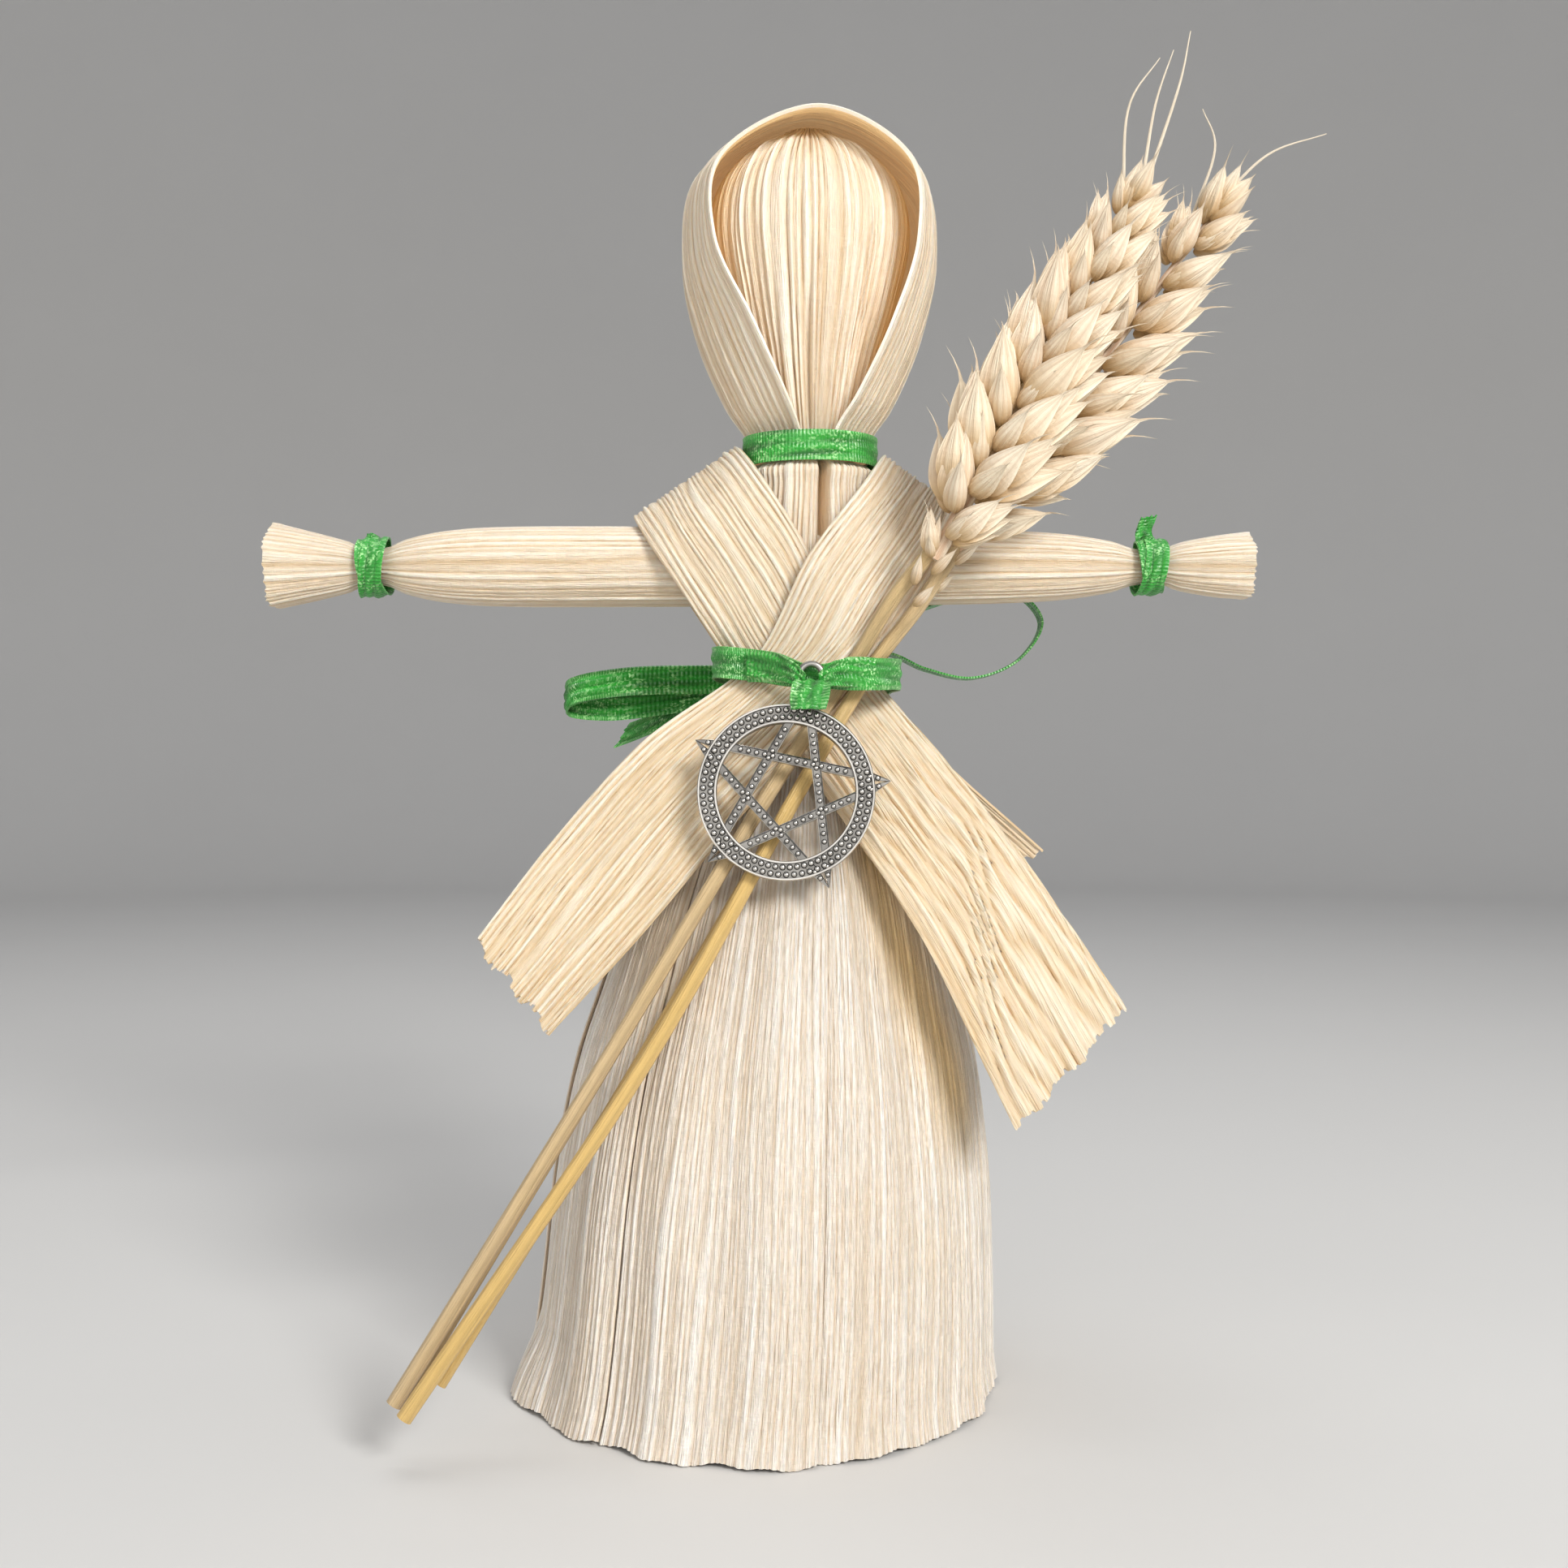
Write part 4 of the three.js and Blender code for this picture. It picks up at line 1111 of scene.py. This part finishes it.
class HUSKDOLL_OT_shawl(Step, bpy.types.Operator):
    """Add the two long husks crossed over the chest, with their loose tails"""
    bl_idname = "huskdoll.shawl"
    bl_label = "Shawl"

    def build(self, size):
        rib = size.rib_depth / MM
        sides = [
            ("left", SHAWL_LEFT, 0.75, 31),
            ("right", SHAWL_RIGHT, 0.12, 43),
        ]
        for side, stations, crumple, seed in sides:
            relief = shawl_relief(rib, crumple, seed)
            piece = strip(f"shawl_{side}", stations, 246, 124, size.husk_thickness,
                          relief, shawl_cut(1.1, seed), warm=shawl_painted_glow(relief))
            dress(piece, [material("husk")], [f"shawl_from_{side}_shoulder"])


class HUSKDOLL_OT_ribbons(Step, bpy.types.Operator):
    """Add the satin ribbon round the neck, the waist and both wrists"""
    bl_idname = "huskdoll.ribbons"
    bl_label = "Ribbons"

    def build(self, size):
        thick = size.ribbon_thickness
        green = [material("ribbon")]
        loop = oval(NECK["x"], 0, NECK["z"], NECK["half_width"], NECK["half_depth"])
        band = thicken(sheet("neck_band", 160, 14, band_place(loop, 6, 0.16, thick, 2)), thick)
        tied = knot("neck_knot", (5, 2.6, 5.4), (NECK["x"], NECK["half_depth"] + 1.1, NECK["z"]))
        dress(join("neck_ribbon_band", [band, tied]), green, ["neck_ribbon"])
        self.waist(thick, green)
        self.wrist("left", -83, 5.0, thick, green)
        self.wrist("right", 74, 4.6, thick, green)

    def waist(self, thick, green):
        route = [
            (4.8, -26.4, 139.8), (-3, -20, 141.8), (-11.8, -16.6, 143), (-14.2, 0, 143.6),
            (-11.2, 16.2, 143.6), (5.2, 20, 142.6), (20.3, 17.6, 141.6), (21.8, 0, 141),
            (22, -17.4, 140.6), (17.2, -23.5, 140.2)][::-1]

        def pinch(u):
            return 1 - 0.34 * bell(u, 0.9, 0.045)

        place = band_place(route, 6, 0.3, thick, 4, pinch)
        band = thicken(sheet("waist_band", 220, 16, place), thick)
        upright = (0, 0, 3)
        left_loop = strip("left_loop", [
            ((4, 21.4, 142.5), upright), ((-14, 18.4, 142), upright), ((-34, 13, 141), upright),
            ((-44.6, 12, 138.8), upright), ((-46, 14.5, 137), upright), ((-38, 17.5, 136), upright),
            ((-18, 21.5, 138.5), upright), ((2, 22.4, 141), upright)], 120, 16, thick, satin(0.5, 3, 6))
        left_tail = strip("left_tail", [
            ((3, 22, 141), upright), ((-12, 24.5, 138), (1, 0, 2.8)), ((-27, 21.5, 133), (1.4, 0, 2.6)),
            ((-34.5, 17, 129.8), (1.4, 0, 2.6))], 60, 12, thick, satin(0.22, 2, 7), shawl_cut(0.5, 9))
        flat, narrow = (0, 3, 0), (0, 2.5, 0)
        right_loop = strip("right_loop", [
            ((6, 22.2, 141), narrow), ((13, 22, 144), narrow), ((22, 20.6, 147.4), flat),
            ((30, 19, 144), flat), ((40, 18, 142), flat), ((50, 17, 146), flat), ((54.6, 16, 154), flat),
            ((48, 16, 160.5), flat), ((30, 18, 157), flat), ((15, 21.4, 150.6), narrow),
            ((6, 22.2, 144.6), narrow)],
            130, 12, thick, satin(0.2, 2, 8))
        wings = [
            strip("wing_left", [
                ((-7, -19.8, 142), (0, 0, 3)), ((-1.5, -24.8, 141.3), (0, 0, 2.7)),
                ((1.8, -29.2, 140), (0, 0.2, 2)), ((3.6, -30.2, 138.6), (0.5, 0, 1.4))],
                50, 16, thick, satin(0.42, 3, 21)),
            strip("wing_right", [
                ((17.2, -23.2, 140.4), (0, 0, -3)), ((11.8, -26.8, 140.5), (0, 0, -2.7)),
                ((8.4, -29.4, 139.6), (0, 0.2, -2)), ((6.8, -30.2, 138.4), (0.5, 0, -1.4))],
                50, 16, thick, satin(0.42, 3, 22))]
        tab = strip("charm_tab", [
            ((5, -27.6, 138.8), (2.6, 0, 0)), ((5, -30.9, 138.2), (3.4, 0, 0)),
            ((4.8, -32.8, 136), (3.6, 0, 0)), ((4.5, -33.5, 133.2), (3.2, 0, 0))],
            40, 20, thick, satin(0.4, 3, 12))
        tied = knot("waist_knot", (7.8, 4.6, 7.2), (5.2, 22.2, 142.2), 0.12)
        pieces = [band, left_loop, left_tail, right_loop, *wings, tab, tied]
        dress(join("waist_ribbon_bow", pieces), green, ["waist_ribbon"])

    def wrist(self, side, x, radius, thick, green):
        """Two turns of ribbon that cross, and a small knot on top."""
        turns = []
        for i, tilt in enumerate((-0.9, 0.9)):
            angles = [TURN * k / 16 for k in range(16)]
            reach = radius + 0.15 + 0.35 * i
            loop = [
                (x + tilt * math.cos(a + 0.6), reach * math.sin(a), ARM_Z + reach * math.cos(a))
                for a in angles]
            turns.append(self.turn_of(f"wrist_turn_{i}", loop, x, 4.4, thick, 13 + i))
        top = knot("wrist_knot", (2.6, 3.6, 2.4), (x - 0.4, -0.4, ARM_Z + radius + 0.5), 0.3)
        pieces = [*turns, top]
        if side == "right":
            spots = [
                ((x - 0.2, 0, ARM_Z + 4.2), (2.0, 0, 0)), ((x - 0.9, 0.4, ARM_Z + 7.2), (1.7, 0, 0.2)),
                ((x + 0.1, 0.2, ARM_Z + 10.3), (1.6, 0.4, 0.3))]
            relief, cut = satin(0.25, 2, 16), shawl_cut(0.5, 5)
            pieces.append(strip("wrist_stub", spots, 30, 10, thick, relief, cut))
        dress(join(f"wrist_ribbon_{side}_turns", pieces), green, [f"wrist_ribbon_{side}"])

    def turn_of(self, name, loop, x, width, thick, seed):
        path = Path(loop, closed=True)
        long = path.length()

        def place(u, v):
            q = 2 * v - 1
            middle = path.at(u)
            out = unit(middle - np.array([[x, 0, ARM_Z]])) * np.array([[0, 1, 1]])
            height, fold = satin(0.3, 2.5, seed)(np.sin(TURN * u) * 0.3, q)
            lean = np.stack([q * width / 2, 0 * u, 0 * u], 1)
            return middle + lean + out * (height + 0.2)[:, None], (u * long, q * width / 2), fold, 0

        return thicken(sheet(name, 72, 10, place), thick)


class HUSKDOLL_OT_charm(Step, bpy.types.Operator):
    """Add the silver charm: a beaded ring with a five-pointed star of beaded bars"""
    bl_idname = "huskdoll.charm"
    bl_label = "Charm"

    def build(self, size):
        outer, inner, tips, thick = (CHARM[key] for key in ("outer", "inner", "tips", "thick"))
        half = thick / 2
        border, recess = 0.42, 0.34
        profile = [
            (inner, -half, 0.4), (inner, half - 0.15, 0.5), (inner + 0.12, half, 0.62),
            (inner + border, half, 0.5),
            (inner + border + 0.1, half - recess, 0.3), (outer - border - 0.1, half - recess, 0.3),
            (outer - border, half, 0.5), (outer - 0.15, half, 0.62), (outer, half - 0.2, 0.8),
            (outer, -half, 0.4), (inner, -half, 0.4)]
        radii, heights, folds = np.array(profile).T
        rows = len(profile) - 1

        def ring_place(u, v):
            k = np.round(v * rows).astype(int)
            angle = TURN * u
            points = np.stack([radii[k] * np.cos(angle), radii[k] * np.sin(angle), heights[k]], 1)
            return points, (u * 90, v * 8), folds[k], 0

        pieces = [close(sheet("ring", 160, rows, ring_place))]
        step = math.radians(72)
        first = math.radians(6)
        length = 2 * tips * math.sin(step)
        reach = tips * math.cos(step)
        for i in range(5):
            pieces.append(self.bar(i, length, -reach, first + step * i + math.pi / 2 + step))
        pieces.append(self.beads(size.bead_radius, outer, inner, length, reach, first, half - recess))
        top = first + step
        pieces.append(self.eye(tips + 3, top))
        whole = join("charm_silver", pieces)
        lean = Matrix.Rotation(math.radians(90 - CHARM["lean"]), 4, "X")
        spot = Vector((CHARM["x"], CHARM["y"], CHARM["z"])) * MM
        whole.data.transform(Matrix.Translation(spot) @ lean)
        dress(whole, [material("silver")], ["charm"], angle=35)

    def bar(self, index, length, offset, turn):
        """One bar of the star, pointed at both ends, with a raised edge on either side."""
        edge = [
            (-0.85, -0.7, 0.4), (-0.85, 0.62, 0.8), (-0.72, 0.72, 0.7), (-0.58, 0.48, 0.3),
            (0.58, 0.48, 0.3), (0.72, 0.72, 0.7), (0.85, 0.62, 0.8), (0.85, -0.7, 0.4),
            (-0.85, -0.7, 0.4)]
        across, heights, folds = np.array(edge).T
        rows = len(edge) - 1
        cos, sin = math.cos(turn), math.sin(turn)

        def place(u, v):
            k = np.round(v * rows).astype(int)
            x = length * (u - 0.5)
            taper = np.clip((length / 2 - np.abs(x)) / 4.2, 0, 1) ** 0.8
            y = across[k] * taper + offset
            z = heights[k] * np.where(taper < 1, 0.5 + 0.5 * taper, 1) + 0.02 * index
            return np.stack([x * cos - y * sin, x * sin + y * cos, z], 1), (u * 36, v * 4), folds[k], 0

        return close(sheet("bar", 40, rows, place))

    def beads(self, bead, outer, inner, length, reach, first, floor):
        """Two staggered rows of beads round the ring, and one row along each bar of the star."""
        step = math.radians(72)
        deselect()
        bpy.ops.mesh.primitive_ico_sphere_add(subdivisions=2, radius=bead)
        source = bpy.context.object
        points = read_points(source.data)
        paint(source.data, "fold", ease(points[:, 2] / bead, 0.5, 0.85))
        paint(source.data, "warm", 0)
        source.data.uv_layers[0].name = "grain"
        places = []
        count = 66
        for row, radius in enumerate((inner + 1.12, outer - 1.12)):
            for i in range(count):
                angle = TURN * (i + 0.5 * row) / count
                spot = Vector((radius * math.cos(angle), radius * math.sin(angle), floor)) * MM
                places.append(Matrix.Translation(spot))
        per_bar = 22
        for i in range(5):
            turn = Matrix.Rotation(first + step * i + math.pi / 2 + step, 4, "Z")
            for k in range(per_bar):
                x = (k + 0.5) / per_bar * (length - 3.4) - (length - 3.4) / 2
                spot = turn @ (Vector((x, -reach, 0.52)) * MM)
                if outer * 0.93 > spot.length / MM > inner * 1.0:
                    continue
                places.append(Matrix.Translation(spot) @ Matrix.Scale(0.86, 4))
        return copies("beads", source, places)

    def eye(self, radius, top):
        """The small ring at the top that the ribbon goes through."""
        deselect()
        bpy.ops.mesh.primitive_torus_add(
            major_segments=36, minor_segments=12, major_radius=2.1 * MM, minor_radius=0.62 * MM)
        eye = bpy.context.object
        eye.data.uv_layers[0].name = "grain"
        paint(eye.data, "fold", 0.45)
        paint(eye.data, "warm", 0)
        middle = Vector((radius * math.cos(top), radius * math.sin(top), 0)) * MM
        eye.data.transform(Matrix.Translation(middle))
        return eye


class HUSKDOLL_OT_wheat(Step, bpy.types.Operator):
    """Add the two stalks of wheat with their ears and beards"""
    bl_idname = "huskdoll.wheat"
    bl_label = "Wheat"

    STALKS = {
        "left": {
            "straw": [(-68.2, -46.8, 11), (-30.8, -36.6, 71.6), (-3, -26.4, 117.5), (13, -18.7, 142),
                      (20.6, -22.4, 154.5), (28.4, -25.2, 164)],
            "foot": (28.1, -25.2, 161.6), "tip": (70.8, -25.6, 238.6), "facing": 0.75,
            "golden": lambda v: 0.1 + 0.25 * v,
            "beards": [[(63.6, -25.4, 229), (64.8, -26, 247), (70.4, -26, 255.5)],
                       [(67.4, -25.6, 234), (70, -25, 248), (73.2, -25, 257.4)],
                       [(69, -25.6, 235), (74.6, -25, 252), (76.4, -25, 261)]]},
        "right": {
            "straw": [(-65.9, -49.2, 9.4), (-23.6, -37.6, 71.6), (2.4, -26, 117.5), (17, -18.4, 142),
                      (26.5, -18.4, 154.5), (34, -16.2, 166)],
            "foot": (33.4, -16.2, 164.6), "tip": (90.6, -14.8, 239.4), "facing": 0.3,
            "golden": lambda v: 0.85 - 0.7 * ease(v, 0.3, 0.85),
            "beards": [[(79, -15.4, 229), (83.6, -15, 243.6), (81.2, -15, 250.4)],
                       [(83.5, -15, 231.5), (94, -15.2, 241.6), (105.2, -15, 245.6)]]},
    }

    def build(self, size):
        for seed, (side, stalk) in enumerate(self.STALKS.items()):
            short, long = ear_places(stalk["foot"], stalk["tip"], 8, 50 + seed, stalk["facing"])
            parts = [copies("short", floret("floret", 0.1), short, 0.24, seed),
                     copies("long", floret("floret", 0.38), long, 0.24, seed + 5)]
            core = [stalk["foot"], [a + 0.9 * (b - a) for a, b in zip(stalk["foot"], stalk["tip"])]]
            parts.append(tube("core", core, lambda v: 1.6 - 1.1 * v, 10, 20, 0.3))
            for route in stalk["beards"]:
                parts.append(tube("beard", route, lambda v: 0.36 - 0.26 * v, 8, 24, 0.8))
            ear = join(f"wheat_{side}_ear", parts)
            dress(ear, [material("chaff")], [f"wheat_{side}"])
            radius = size.straw_radius / MM
            straw = tube(
                f"wheat_{side}_straw", stalk["straw"], lambda v: radius + 0 * v, 20, 90, 0.6, stalk["golden"])
            dress(straw, [material("straw")])


class HUSKDOLL_OT_straws(Step, bpy.types.Operator):
    """Add the two loose straws behind the stalks"""
    bl_idname = "huskdoll.straws"
    bl_label = "Loose straws"

    def build(self, size):
        loose = [
            ("straw_pale", [(-67.1, -42.8, 10.2), (-33.5, -33.4, 66), (-5.8, -23, 112)], 0.9, 0.2),
            ("straw_tan", [(-60.7, -43.4, 13.2), (-27.6, -35.2, 67), (-1, -23.6, 112)], 1.0, 0.8),
        ]
        for name, points, radius, golden in loose:
            straw = tube(
                name + "_piece", points, lambda v: radius + 0 * v, 14, 50, 0.6, lambda v: golden + 0 * v)
            dress(straw, [material("straw")], [name])


STEPS = [
    HUSKDOLL_OT_stage, HUSKDOLL_OT_skirt, HUSKDOLL_OT_head, HUSKDOLL_OT_hood, HUSKDOLL_OT_arms,
    HUSKDOLL_OT_shawl, HUSKDOLL_OT_ribbons, HUSKDOLL_OT_charm, HUSKDOLL_OT_wheat, HUSKDOLL_OT_straws,
]


class HUSKDOLL_PT_panel(bpy.types.Panel):
    """The doll's sizes, colours and building steps"""
    bl_label = "Husk doll"
    bl_idname = "HUSKDOLL_PT_panel"
    bl_space_type = "VIEW_3D"
    bl_region_type = "UI"
    bl_category = "Husk doll"

    def draw(self, context):
        layout = self.layout
        scene = context.scene
        for owner, group in ((scene.doll_sizes, DollSizes), (scene.doll_colours, DollColours)):
            for key in group.__annotations__:
                layout.prop(owner, key)
        for step in STEPS:
            layout.operator(step.bl_idname)


CLASSES = [DollSizes, DollColours, *STEPS, HUSKDOLL_PT_panel]


def register():
    for kind in CLASSES:
        bpy.utils.register_class(kind)
    bpy.types.Scene.doll_sizes = bpy.props.PointerProperty(type=DollSizes)
    bpy.types.Scene.doll_colours = bpy.props.PointerProperty(type=DollColours)


def unregister():
    del bpy.types.Scene.doll_colours
    del bpy.types.Scene.doll_sizes
    for kind in reversed(CLASSES):
        bpy.utils.unregister_class(kind)


def main():
    register()
    for step in STEPS:
        group, name = step.bl_idname.split(".")
        getattr(getattr(bpy.ops, group), name)()
    deselect()


if __name__ == "__main__":
    main()
